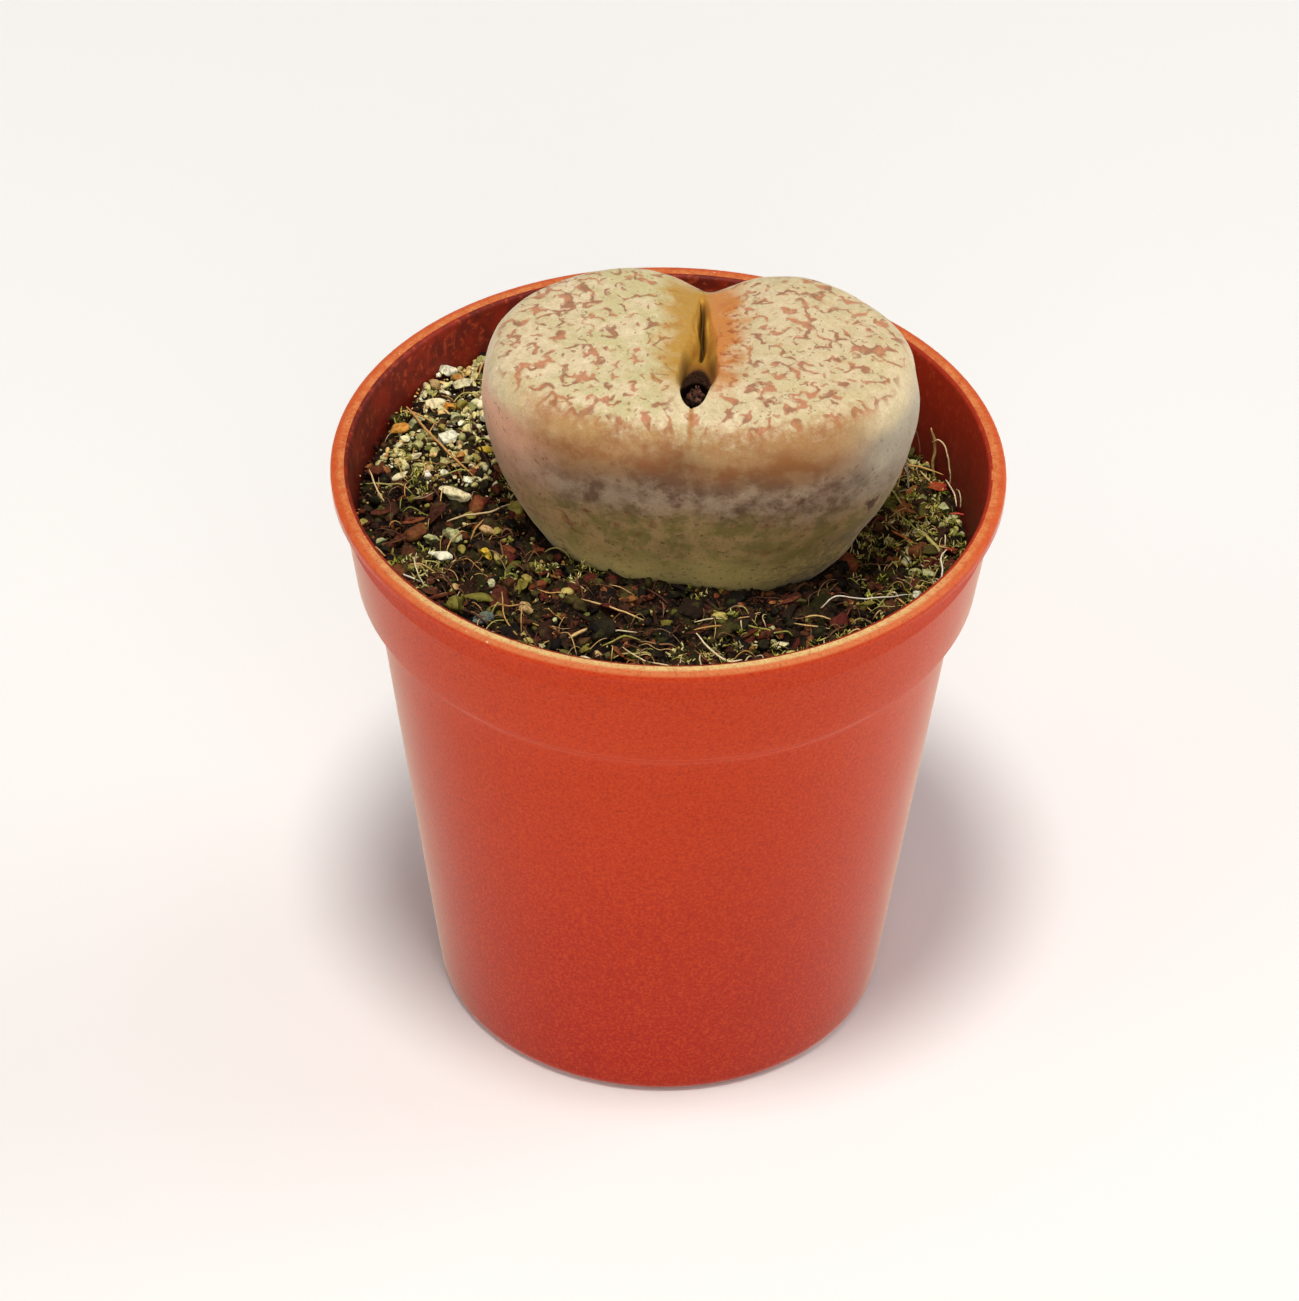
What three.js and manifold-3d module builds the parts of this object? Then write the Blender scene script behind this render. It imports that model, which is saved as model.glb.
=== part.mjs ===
// A single-headed living-stone plant (lithops) in a small round nursery pot.
// Millimetres, +Z up, origin at the centre of the pot's foot. The plant faces -Y.
// Four solids: the pot, the gritty soil with its stones and straws, the plant and its old seed head.

import * as THREE from "three";
import { mergeVertices } from "three/addons/utils/BufferGeometryUtils.js";
import Module from "manifold-3d";

const wasm = await Module();
wasm.setup();

// ---------------------------------------------------------------- driving dimensions

const CLEARANCE = 0.3; // between solids that touch

const pot = {
  rimRadius: 27.5, // the 55 mm that such a pot is sold by
  height: 52,
  lipHeight: 1.0,
  lipOverhang: 0.75, // how far the lip stands out of the collar
  lipRound: 0.35,
  collarHeight: 10.3, // rim to the step
  collarTaper: 1.3, // radius lost down the collar
  stepIn: 1.5,
  stepHeight: 1.3,
  footRadius: 18.6,
  footRound: 1.2,
  wall: 0.7,
  floor: 0.9,
  recessRadius: 13.5, // raised middle of the underside
  recessHeight: 1.1,
  holeRadius: 2.1,
  holeCircle: 9.2,
  holeCount: 5,
  segments: 60,
};

const soil = {
  level: 44.9, // height on the pot's axis
  slopeX: -0.09, // higher on the left
  slopeY: 0.02,
  mound: { x: -15, y: 12, radius: 8, height: 1.3 },
  hollow: { x: 17, y: 14, radius: 9, height: -0.3 },
  lumps: 0.32, // height of the crumbs' relief
  rays: 54,
  circles: [5, 9, 12, 14.5, 17, 19.2, 21.4, 23.6, 26, 28.5],
};

const plant = {
  x: 2.4, // centre of the head over the pot
  y: 2.0,
  yaw: THREE.MathUtils.degToRad(-4),
  halfWidth: 17.65, // across the fissure
  halfBack: 12.6,
  halfFront: 12.2,
  squareness: { back: 2.14, front: 2.35 }, // 2 is an ellipse, more is squarer
  notch: { depth: 0.2, spread: 19 }, // back of the outline, share of the radius and degrees
  crease: { depth: 0.025, spread: 7 }, // front of the outline
  top: 63.4,
  crown: 1.0, // how much the leaf tops fall towards their edge
  valley: { depth: 0.8, halfWidth: 4.0 }, // both tops dip towards the fissure
  shoulder: 0.9, // share of the outline where the leaf tops start to round over
  rays: 64,
};

// The slit between the two leaves opens from a point at the back towards the hole in front.
const fissure = { back: 7.9, widest: -2.0, front: -4.6, halfWidth: 1.35, depth: 1.8 };
const hole = { x: 0, y: -6.1, halfWidth: 1.2, halfLength: 3.0, depth: 3.7 };

const seedHead = { y: -4.9, radius: 0.8, length: 1.1 };

const stones = {
  count: 160,
  smallest: 0.75,
  largest: 1.8,
  pebbleFrom: 1.25, // larger stones are rounder
  seed: 11,
};

const straws = {
  count: 13,
  thickness: 0.65,
  shortest: 5,
  longest: 10,
  seed: 5,
};

// The straws that show most, each from one end on the soil to the other, with the height of its arch.
const knownStraws = [
  { from: [-21.6, 10.6], to: [-16, 3.7], arch: 0.9 },
  { from: [19.3, 10.4], to: [22.9, 8.4], arch: 4.0 },
  { from: [19.8, 8.9], to: [22.6, 1.0], arch: 1.8 },
  { from: [12.6, -8.7], to: [20.2, -6.0], arch: 1.1 },
];

// ---------------------------------------------------------------- tools

// Seeded random numbers, the same at every run.
function randomFrom(seed) {
  let state = seed >>> 0;
  return () => {
    state = (state + 0x6d2b79f5) >>> 0;
    let t = Math.imul(state ^ (state >>> 15), 1 | state);
    t = (t + Math.imul(t ^ (t >>> 7), 61 | t)) ^ t;
    return ((t ^ (t >>> 14)) >>> 0) / 4294967296;
  };
}

// 0 at x = from, 1 at x = to, and smooth between, whichever of the two is larger.
function smoothstep(from, to, x) {
  const t = THREE.MathUtils.clamp((x - from) / (to - from), 0, 1);
  return t * t * (3 - 2 * t);
}

function bump(x, spread) {
  return Math.exp(-((x / spread) ** 2));
}

function solidOf(geometry) {
  const bare = geometry.clone();
  bare.deleteAttribute("normal");
  bare.deleteAttribute("uv");
  const merged = mergeVertices(bare, 1e-4);
  const mesh = new wasm.Mesh({
    numProp: 3,
    vertProperties: merged.attributes.position.array,
    triVerts: new Uint32Array(merged.index.array),
  });
  return new wasm.Manifold(mesh);
}

function geometryOf(solid) {
  const mesh = solid.getMesh();
  const geometry = new THREE.BufferGeometry();
  geometry.setAttribute("position", new THREE.BufferAttribute(mesh.vertProperties, 3));
  geometry.setIndex(new THREE.BufferAttribute(mesh.triVerts, 1));
  geometry.computeVertexNormals();
  return geometry;
}

// A closed skin through rings of equal count, with a point at each end. Rings run anticlockwise seen from
// above, and the first is the top one.
function skin(topPoint, rings, bottomPoint) {
  const count = rings[0].length;
  const points = [topPoint, ...rings.flat(), bottomPoint];
  const last = points.length - 1;
  const at = (ring, i) => 1 + ring * count + (i % count);
  const faces = [];
  for (let i = 0; i < count; i++) {
    faces.push(0, at(0, i), at(0, i + 1));
    for (let ring = 0; ring < rings.length - 1; ring++) {
      faces.push(at(ring, i), at(ring + 1, i), at(ring + 1, i + 1));
      faces.push(at(ring, i), at(ring + 1, i + 1), at(ring, i + 1));
    }
    faces.push(last, at(rings.length - 1, i + 1), at(rings.length - 1, i));
  }
  const geometry = new THREE.BufferGeometry();
  geometry.setAttribute("position", new THREE.Float32BufferAttribute(points.flat(), 3));
  geometry.setIndex(faces);
  return geometry;
}

// ---------------------------------------------------------------- pot

const collarRadius = pot.rimRadius - pot.lipOverhang;
const collarFoot = collarRadius - pot.collarTaper;
const stepZ = pot.height - pot.collarHeight;
const bodyTop = collarFoot - pot.stepIn;

// Outside of the wall from the foot to the rim, as [radius, height].
function outsideOfPot() {
  const { footRadius, footRound, stepHeight, height, lipHeight, rimRadius, lipRound } = pot;
  const profile = [];
  for (let i = 0; i <= 3; i++) {
    const angle = (i / 3) * (Math.PI / 2);
    profile.push([
      footRadius - footRound * (1 - Math.sin(angle)),
      footRound * (1 - Math.cos(angle)),
    ]);
  }
  profile.push([bodyTop, stepZ - stepHeight]);
  profile.push([collarFoot, stepZ]);
  profile.push([collarRadius, height - lipHeight]);
  profile.push([rimRadius, height - lipHeight]);
  profile.push([rimRadius, height - lipRound]);
  profile.push([rimRadius - lipRound, height]);
  return profile;
}

// Inside of the wall from the rim to the floor.
function insideOfPot() {
  const { wall, height, stepHeight, footRadius, recessHeight, floor, lipRound } = pot;
  const floorZ = recessHeight + floor;
  const slope = (bodyTop - footRadius) / (stepZ - stepHeight);
  return [
    [collarRadius - wall + lipRound, height],
    [collarRadius - wall, height - lipRound],
    [collarFoot - wall, stepZ - 0.2],
    [bodyTop - wall, stepZ - stepHeight - 0.3],
    [footRadius + slope * (floorZ + 1) - wall, floorZ + 1],
    [footRadius + slope * floorZ - wall - 0.8, floorZ],
  ];
}

function makePot() {
  const { recessRadius, recessHeight, floor, holeCount, holeCircle, holeRadius } = pot;
  const profile = [
    [0, recessHeight],
    [recessRadius - 1, recessHeight],
    [recessRadius, 0],
    ...outsideOfPot(),
    ...insideOfPot(),
    [0, recessHeight + floor],
  ];
  const points = profile.map(([r, z]) => new THREE.Vector2(r, z));
  const lathe = new THREE.LatheGeometry(points, pot.segments);
  lathe.rotateX(Math.PI / 2);
  let solid = solidOf(lathe);
  for (let i = 0; i < holeCount; i++) {
    const angle = (i / holeCount) * 2 * Math.PI + Math.PI / 10;
    const drill = new THREE.CylinderGeometry(holeRadius, holeRadius, 4, 20);
    drill.rotateX(Math.PI / 2);
    drill.translate(holeCircle * Math.cos(angle), holeCircle * Math.sin(angle), recessHeight);
    solid = solid.subtract(solidOf(drill));
  }
  return solid;
}

// The room inside the pot, less the clearance, open upwards well past the rim.
function roomInPot() {
  const inside = insideOfPot().map(([r, z]) => [r - CLEARANCE, z]);
  const [rimR] = inside[0];
  const floorZ = pot.recessHeight + pot.floor + CLEARANCE;
  inside[inside.length - 1][1] = floorZ;
  const profile = [[0, floorZ], ...inside.reverse(), [rimR, pot.height + 20], [0, pot.height + 20]];
  const lathe = new THREE.LatheGeometry(profile.map(([r, z]) => new THREE.Vector2(r, z)), pot.segments);
  lathe.rotateX(Math.PI / 2);
  return solidOf(lathe);
}

// ---------------------------------------------------------------- plant

// Radius of the head's outline about its own centre, at an angle from +X, in the head's own frame.
function outline(angle) {
  const { halfWidth, halfBack, halfFront, squareness, notch, crease } = plant;
  const c = Math.abs(Math.cos(angle));
  const s = Math.sin(angle);
  const depth = s > 0 ? halfBack : halfFront;
  const power = THREE.MathUtils.lerp(squareness.front, squareness.back, smoothstep(-0.3, 0.3, s));
  const radius = ((c / halfWidth) ** power + (Math.abs(s) / depth) ** power) ** (-1 / power);
  const fromBack = THREE.MathUtils.radToDeg(Math.acos(THREE.MathUtils.clamp(s, -1, 1)));
  const fromFront = 180 - fromBack;
  const dent = notch.depth * bump(fromBack, notch.spread) + crease.depth * bump(fromFront, crease.spread);
  return radius * (1 - dent);
}

// Height of the leaf tops over a point of the plan, with the valley between the leaves.
function topHeight(x, y) {
  const { top, crown, valley } = plant;
  const share = Math.hypot(x, y) / outline(Math.atan2(y, x));
  const dip = valley.depth * bump(x, valley.halfWidth) * smoothstep(-7, -1, y);
  return top - crown * share ** 2.4 - dip;
}

// The side below the shoulder, the neck and the taproot, as [drop below the top, share of the outline].
const sideProfile = [
  [1.2, 0.94],
  [2.0, 0.972],
  [3.2, 0.992],
  [4.8, 1.0],
  [6.8, 1.0],
  [9.0, 0.975],
  [11.6, 0.93],
  [14.4, 0.862],
  [17.2, 0.775],
  [20.0, 0.665],
  [22.8, 0.5],
  [25.0, 0.33],
  [28.0, 0.17],
  [33.0, 0.1],
  [40.0, 0.055],
];

function anglesAround(count) {
  return Array.from({ length: count }, (_, i) => (i / count) * 2 * Math.PI);
}

// The leaf pair with its neck and taproot, uncut, in the head's own frame and grown by `extra`.
function headGeometry(rays, topShares, extra = 0) {
  const { top, crown, shoulder } = plant;
  const angles = anglesAround(rays);
  const rings = topShares.map((share) =>
    angles.map((angle) => {
      const radius = outline(angle) * shoulder * share;
      const [x, y] = [radius * Math.cos(angle), radius * Math.sin(angle)];
      return [x, y, topHeight(x, y) + extra];
    }),
  );
  for (const [drop, share] of sideProfile) {
    const crowned = drop < 4 ? crown * 0.4 * (1 - drop / 4) : 0;
    rings.push(
      angles.map((angle) => {
        const fromBack = THREE.MathUtils.radToDeg(Math.acos(Math.sin(angle)));
        const groove = 0.05 * bump(fromBack, 9) * smoothstep(14, 3, drop);
        const radius = outline(angle) * share * (1 - groove) + extra;
        return [radius * Math.cos(angle), radius * Math.sin(angle), top - crowned - drop];
      }),
    );
  }
  const [tipDrop] = sideProfile[sideProfile.length - 1];
  return skin([0, 0, topHeight(0, 0) + extra], rings, [0, 0, top - tipDrop - 1.5 - extra]);
}

// A plug to cut with. Its plan shrinks about a centre as it goes down, by the shares at each depth.
function plugSolid(plan, [cx, cy], depths, tipDepth) {
  const rings = depths.map(([depth, shareX, shareY]) =>
    plan.map(([x, y]) => [cx + (x - cx) * shareX, cy + (y - cy) * shareY, plant.top - depth]),
  );
  return solidOf(skin([cx, cy, plant.top + 3], rings, [cx, cy, plant.top - tipDepth]));
}

// A long drop in plan, its point at the back.
function fissureSolid() {
  const { back, widest, front, halfWidth, depth } = fissure;
  const plan = anglesAround(24).map((angle) => {
    const along = Math.sin(angle);
    const y = along > 0 ? widest + (back - widest) * along : widest + (widest - front) * along;
    const taper = along > 0 ? (1 - along) ** 0.35 : 1;
    return [halfWidth * Math.cos(angle) * taper, y];
  });
  const depths = [
    [-2, 1, 1],
    [0.9, 1, 1],
    [0.9 + depth * 0.5, 0.5, 0.9],
    [0.9 + depth * 0.85, 0.22, 0.8],
  ];
  return plugSolid(plan, [0, widest], depths, 0.9 + depth);
}

// The dark hole in front, wider inside than at its mouth.
function holeSolid() {
  const { x, y, halfWidth, halfLength, depth } = hole;
  const pointAt = (angle) => [x + halfWidth * Math.cos(angle), y + halfLength * Math.sin(angle)];
  const plan = anglesAround(20).map(pointAt);
  const depths = [
    [-2, 1.05, 1.05],
    [0.4, 1.05, 1.05],
    [1.2, 0.95, 0.97],
    [depth * 0.6, 1.1, 1.02],
    [depth * 0.9, 0.8, 0.8],
  ];
  return plugSolid(plan, [x, y], depths, depth);
}

function makePlant() {
  const topShares = [0.16, 0.32, 0.48, 0.62, 0.75, 0.87, 0.95, 1];
  return solidOf(headGeometry(plant.rays, topShares)).subtract(fissureSolid()).subtract(holeSolid());
}

function inPot(geometry) {
  return geometry.rotateZ(plant.yaw).translate(plant.x, plant.y, 0);
}

// The withered seed head at the bottom of the hole, a wrinkled bead.
function seedHeadGeometry() {
  const { radius, length } = seedHead;
  const geometry = new THREE.IcosahedronGeometry(radius, 2);
  const position = geometry.attributes.position;
  for (let i = 0; i < position.count; i++) {
    const [x, y, z] = [position.getX(i), position.getY(i), position.getZ(i)];
    const wrinkle = 1 + 0.1 * Math.sin(7 * Math.atan2(y, x)) * (1 - (z / radius) ** 2);
    position.setXYZ(i, x * wrinkle, y * wrinkle * (length / radius), z * 0.85);
  }
  const floor = plant.top - hole.depth;
  return geometry.translate(hole.x, seedHead.y, floor + CLEARANCE + radius * 1.1);
}

// ---------------------------------------------------------------- soil

function soilHeight(x, y) {
  const { level, slopeX, slopeY, mound, hollow, lumps } = soil;
  let z = level + slopeX * x + slopeY * y;
  for (const { x: cx, y: cy, radius, height } of [mound, hollow]) {
    z += height * bump(Math.hypot(x - cx, y - cy), radius);
  }
  z += lumps * Math.sin(x * 1.31 + Math.sin(y * 0.9)) * Math.cos(y * 1.17 + 0.7 * Math.sin(x * 0.8));
  z += lumps * 0.7 * Math.sin(x * 2.6 - y * 1.9 + 1.3) * Math.sin(y * 2.3 + x * 0.6);
  return z;
}

// The plug of soil, wider than the pot, which then trims it.
function soilPlug() {
  const { rays, circles } = soil;
  const rings = circles.map((radius, ring) =>
    anglesAround(rays).map((angle) => {
      const turned = angle + (ring % 2) * (Math.PI / rays);
      const [x, y] = [radius * Math.cos(turned), radius * Math.sin(turned)];
      return [x, y, soilHeight(x, y)];
    }),
  );
  rings.push(rings[rings.length - 1].map(([x, y]) => [x, y, 0]));
  return solidOf(skin([0, 0, soilHeight(0, 0)], rings, [0, 0, 0]));
}

// True where nothing but soil lies under a point of the plan, with a margin to the plant and the wall.
function isFree(x, y, margin) {
  const [dx, dy] = [x - plant.x, y - plant.y];
  const c = Math.cos(-plant.yaw);
  const s = Math.sin(-plant.yaw);
  const [px, py] = [dx * c - dy * s, dx * s + dy * c];
  const atSoil = 0.72 * outline(Math.atan2(py, px)) + margin;
  const wallRadius = collarRadius - pot.wall - CLEARANCE - margin;
  return Math.hypot(px, py) > atSoil && Math.hypot(x, y) < wallRadius;
}

// A rough stone about a point: an angular chip, or a pebble if it is large.
function stoneSolid(size, random) {
  const stone = size > stones.pebbleFrom
    ? new THREE.IcosahedronGeometry(size, 0)
    : new THREE.BoxGeometry(1.45 * size, 1.45 * size, 1.45 * size);
  const corners = stone.attributes.position;
  const stretch = new THREE.Vector3(0.8 + 0.5 * random(), 0.75 + 0.35 * random(), 0.65 + 0.3 * random());
  const phase = random() * 6;
  const corner = new THREE.Vector3();
  for (let i = 0; i < corners.count; i++) {
    corner.fromBufferAttribute(corners, i);
    const rough = 1 + 0.2 * Math.sin((5 * corner.x + 3 * corner.y + 4 * corner.z) / size + phase);
    corner.multiply(stretch).multiplyScalar(rough);
    corners.setXYZ(i, corner.x, corner.y, corner.z);
  }
  return stone.rotateX((random() - 0.5) * 1.2).rotateZ(random() * Math.PI);
}

// Grit: stones with their lower part in the soil, larger and closer together on the left.
function stoneSolids() {
  const random = randomFrom(stones.seed);
  const placed = [];
  const solids = [];
  for (let tries = 0; solids.length < stones.count && tries < 6000; tries++) {
    const angle = random() * 2 * Math.PI;
    const radius = 25.4 * Math.sqrt(random());
    const [x, y] = [radius * Math.cos(angle), radius * Math.sin(angle)];
    const leftness = smoothstep(16, -18, x);
    const growth = random() ** 1.3 * (0.4 + 0.6 * leftness);
    const size = THREE.MathUtils.lerp(stones.smallest, stones.largest, growth);
    const wanted = random() < 0.14 + 0.86 * leftness;
    const crowded = placed.some((p) => Math.hypot(p.x - x, p.y - y) < (p.size + size) * 0.85);
    if (!wanted || crowded || !isFree(x, y, size * 0.7)) continue;
    placed.push({ x, y, size });
    solids.push(solidOf(stoneSolid(size, random).translate(x, y, soilHeight(x, y) + size * 0.22)));
  }
  return solids;
}

// One dry straw as an arch between two points of the soil, its ends sunk in.
function strawSolid(from, to, arch, sway) {
  const points = [];
  const steps = 6;
  const across = new THREE.Vector2(from[1] - to[1], to[0] - from[0]).normalize();
  for (let i = 0; i <= steps; i++) {
    const t = i / steps;
    const lean = sway * Math.sin(Math.PI * t);
    const x = THREE.MathUtils.lerp(from[0], to[0], t) + across.x * lean;
    const y = THREE.MathUtils.lerp(from[1], to[1], t) + across.y * lean;
    const lift = arch * Math.sin(Math.PI * t) ** 0.8 - 0.5;
    points.push(new THREE.Vector3(x, y, soilHeight(x, y) + lift));
  }
  const corners = anglesAround(3).map((angle) => new THREE.Vector2(Math.cos(angle), Math.sin(angle)));
  const section = new THREE.Shape(corners.map((corner) => corner.multiplyScalar(straws.thickness / 1.5)));
  const extrudePath = new THREE.CatmullRomCurve3(points);
  return solidOf(new THREE.ExtrudeGeometry(section, { steps: 7, extrudePath }));
}

function strawSolids() {
  const random = randomFrom(straws.seed);
  const solids = knownStraws.map(({ from, to, arch }) => strawSolid(from, to, arch, 0.4));
  for (let tries = 0; solids.length < straws.count && tries < 2000; tries++) {
    const angle = random() * 2 * Math.PI;
    const radius = 25 * Math.sqrt(random());
    const from = [radius * Math.cos(angle), radius * Math.sin(angle)];
    const heading = random() * 2 * Math.PI;
    const length = THREE.MathUtils.lerp(straws.shortest, straws.longest, random());
    const to = [from[0] + length * Math.cos(heading), from[1] + length * Math.sin(heading)];
    const middle = [(from[0] + to[0]) / 2, (from[1] + to[1]) / 2];
    const arch = 0.5 + 1.1 * random();
    const sway = (random() - 0.5) * 2.4;
    if (![from, to, middle].every(([x, y]) => isFree(x, y, 1.4))) continue;
    solids.push(strawSolid(from, to, arch, sway));
  }
  return solids;
}

function makeSoil() {
  const heap = wasm.Manifold.union([soilPlug(), ...stoneSolids(), ...strawSolids()]);
  const plantPlace = solidOf(inPot(headGeometry(40, [0.5, 1], CLEARANCE + 0.05)));
  const trimmed = heap.intersect(roomInPot()).subtract(plantPlace);
  const bodies = trimmed.decompose().sort((a, b) => b.volume() - a.volume());
  return bodies[0];
}

// ---------------------------------------------------------------- assembly

function named(name, geometry, color, roughness) {
  const material = new THREE.MeshStandardMaterial({ color, roughness, metalness: 0 });
  const mesh = new THREE.Mesh(geometry, material);
  mesh.name = name;
  return mesh;
}

const group = new THREE.Group();
group.add(named("pot", geometryOf(makePot()), 0xc8482a, 0.45));
group.add(named("soil", geometryOf(makeSoil()), 0x4a3626, 0.95));
group.add(named("plant", inPot(geometryOf(makePlant())), 0xb9a67c, 0.6));
group.add(named("seed_head", inPot(seedHeadGeometry()), 0x2a211c, 0.9));

export default group;
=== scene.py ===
# A living stone in its nursery pot: the pot, a bed of soil with grit, bark, moss and straws, the two-leaved
# plant, and last year's seed head at the bottom of the hole between the leaves.
# Shapes are reckoned in millimetres and turned into metres when a mesh is made.
import math

import bmesh
import bpy
import numpy as np
from mathutils import Matrix, Vector


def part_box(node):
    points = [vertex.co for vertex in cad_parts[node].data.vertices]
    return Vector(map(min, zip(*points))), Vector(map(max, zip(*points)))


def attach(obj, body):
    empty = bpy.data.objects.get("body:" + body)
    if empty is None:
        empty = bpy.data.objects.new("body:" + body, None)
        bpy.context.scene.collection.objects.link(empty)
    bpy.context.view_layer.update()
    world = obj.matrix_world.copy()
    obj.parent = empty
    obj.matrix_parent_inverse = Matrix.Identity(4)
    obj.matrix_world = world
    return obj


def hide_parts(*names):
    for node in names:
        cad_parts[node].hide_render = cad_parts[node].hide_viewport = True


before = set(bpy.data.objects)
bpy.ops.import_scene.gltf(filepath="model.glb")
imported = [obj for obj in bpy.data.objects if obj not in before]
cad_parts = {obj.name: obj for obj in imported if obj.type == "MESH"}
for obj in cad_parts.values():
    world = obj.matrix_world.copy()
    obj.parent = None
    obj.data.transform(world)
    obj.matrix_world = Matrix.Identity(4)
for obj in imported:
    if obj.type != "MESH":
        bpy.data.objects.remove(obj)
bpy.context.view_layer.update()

mm = 0.001
scene = bpy.context.scene


def millimetres(node):
    low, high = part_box(node)
    return low / mm, high / mm


# Seen from above and in front, along the pot's axis
view = {
    "targetHeight": 25,
    "distance": 600,
    "elevation": 39.25,
    "roll": 1.15,
    "focalLength": 198.8,
    "sensorWidth": 36,
    "shift": (-0.0107, 0.0538),
}


def makeCamera():
    data = bpy.data.cameras.new("camera")
    data.sensor_fit = "HORIZONTAL"
    data.sensor_width = view["sensorWidth"]
    data.lens = view["focalLength"]
    data.shift_x, data.shift_y = view["shift"]
    data.clip_start = 0.01
    camera = bpy.data.objects.new("camera", data)
    scene.collection.objects.link(camera)
    tilt = Matrix.Rotation(math.radians(90 - view["elevation"]), 4, "X")
    roll = Matrix.Rotation(math.radians(view["roll"]), 4, "Z")
    target = Matrix.Translation((0, 0, view["targetHeight"] * mm))
    back = Matrix.Translation((0, 0, view["distance"] * mm))
    camera.matrix_world = target @ tilt @ back @ roll
    scene.camera = camera


makeCamera()
print("camera placed")


# Seeded noise and small shape tools

def lumps(points, width, seed=0):
    # smooth bumps from -1 to 1, about `width` across, at each row of an (n, 3) array
    spots = np.asarray(points, float) / width + seed * 19.19
    cells = np.floor(spots).astype(np.int64)
    within = spots - cells
    ease = within**3 * (within * (within * 6 - 15) + 10)
    total = np.zeros(len(spots))
    for corner in np.ndindex(2, 2, 2):
        key = (cells + corner) * (374761393, 668265263, 974634777)
        key = key.sum(axis=1) & 0xFFFFFFFF
        key = ((key ^ (key >> 13)) * 1274126177) & 0xFFFFFFFF
        height = ((key ^ (key >> 16)) & 0xFFFF) / 32767.5 - 1
        total += height * np.prod(np.where(corner, ease, 1 - ease), axis=1)
    return total


def flatLumps(x, y, width, seed=0):
    x, y = np.broadcast_arrays(x, y)
    points = np.stack([x.ravel(), y.ravel(), np.zeros(x.size)], axis=1)
    return lumps(points, width, seed).reshape(x.shape)


def smooth(low, high, value):
    share = np.clip((value - low) / (high - low), 0, 1)
    return share * share * (3 - 2 * share)


def bell(value, spread):
    return np.exp(-((value / spread) ** 2))


def curveThrough(points, steps):
    # a smooth curve through the points, with `steps` samples from each to the next
    points = np.asarray(points, float)
    padded = np.vstack([2 * points[0] - points[1], points, 2 * points[-1] - points[-2]])
    made = []
    for a, b, c, d in zip(padded, padded[1:], padded[2:], padded[3:]):
        for t in np.arange(steps) / steps:
            made.append(0.5 * (2 * b + (c - a) * t + (2 * a - 5 * b + 4 * c - d) * t**2
                               + (3 * b - a - 3 * c + d) * t**3))
    made.append(points[-1])
    return np.array(made)


def roundCorners(corners, steps=4):
    # a profile of (radius, height, rounding) corners with each corner rounded off
    flat = np.array([corner[:2] for corner in corners], float)
    made = [flat[0]]
    for index in range(1, len(flat) - 1):
        before, here, after = flat[index - 1 : index + 2]
        rounding = corners[index][2]
        reach = [min(rounding, np.linalg.norm(end - here) * 0.45) for end in (before, after)]
        start = here + (before - here) / np.linalg.norm(before - here) * reach[0]
        end = here + (after - here) / np.linalg.norm(after - here) * reach[1]
        for t in np.linspace(0, 1, steps if rounding else 1):
            made.append((1 - t) ** 2 * start + 2 * t * (1 - t) * here + t**2 * end)
    made.append(flat[-1])
    return np.array(made)


def meshPiece(name, points, faces, finishes, kinds=None, sharpAngle=None):
    mesh = bpy.data.meshes.new(name)
    mesh.from_pydata((np.asarray(points) * mm).tolist(), [], faces)
    for finish in finishes:
        mesh.materials.append(finish)
    if kinds is not None:
        mesh.polygons.foreach_set("material_index", np.asarray(kinds, np.int32))
    mesh.shade_smooth()
    if sharpAngle:
        mesh.set_sharp_from_angle(angle=math.radians(sharpAngle))
    piece = bpy.data.objects.new(name, mesh)
    scene.collection.objects.link(piece)
    return piece


def skinFaces(ringCount, rayCount):
    # faces of a closed skin: a first point, rings that run anticlockwise, and a last point
    faces = []
    last = 1 + ringCount * rayCount
    for i in range(rayCount):
        j = (i + 1) % rayCount
        faces.append((0, 1 + i, 1 + j))
        for start in range(1, 1 + (ringCount - 1) * rayCount, rayCount):
            faces.append((start + i, start + rayCount + i, start + rayCount + j, start + j))
        faces.append((last, last - rayCount + j, last - rayCount + i))
    return faces


def skinPoints(first, rings, last):
    return np.vstack([[first], np.concatenate(rings), [last]])


class Heap:
    # many small closed shapes gathered into one mesh, each of one kind
    def __init__(self):
        self.points = []
        self.faces = []
        self.kinds = []
        self.size = 0

    def add(self, points, faces, kind=0):
        self.points.append(points)
        self.faces.extend([tuple(corner + self.size for corner in face) for face in faces])
        self.kinds.extend([kind] * len(faces))
        self.size += len(points)

    def piece(self, name, finishes, sharpAngle=None):
        return meshPiece(name, np.vstack(self.points), self.faces, finishes, self.kinds, sharpAngle)


def sphereParts(level):
    ball = bmesh.new()
    bmesh.ops.create_icosphere(ball, subdivisions=level, radius=1)
    points = np.array([corner.co for corner in ball.verts])
    faces = [tuple(corner.index for corner in face.verts) for face in ball.faces]
    ball.free()
    return points, faces


spheres = {level: sphereParts(level) for level in (1, 2, 3)}


def turned(points, angles):
    for axis, angle in zip("XYZ", angles):
        points = points @ np.array(Matrix.Rotation(angle, 3, axis)).T
    return points


def chipped(level, stretch, cuts, roughness, rng):
    # a ball with flats knocked off it, then stretched, as crushed grit is
    points, faces = spheres[level]
    points = points.copy()
    for _ in range(cuts):
        normal = rng.normal(size=3)
        normal /= np.linalg.norm(normal)
        depth = rng.uniform(0.45, 0.85)
        over = np.clip(points @ normal - depth, 0, None)
        points -= over[:, None] * normal
    points *= 1 + roughness * lumps(points, 0.55, rng.integers(1, 900))[:, None]
    return points * stretch, faces


# Shader maths

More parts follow.
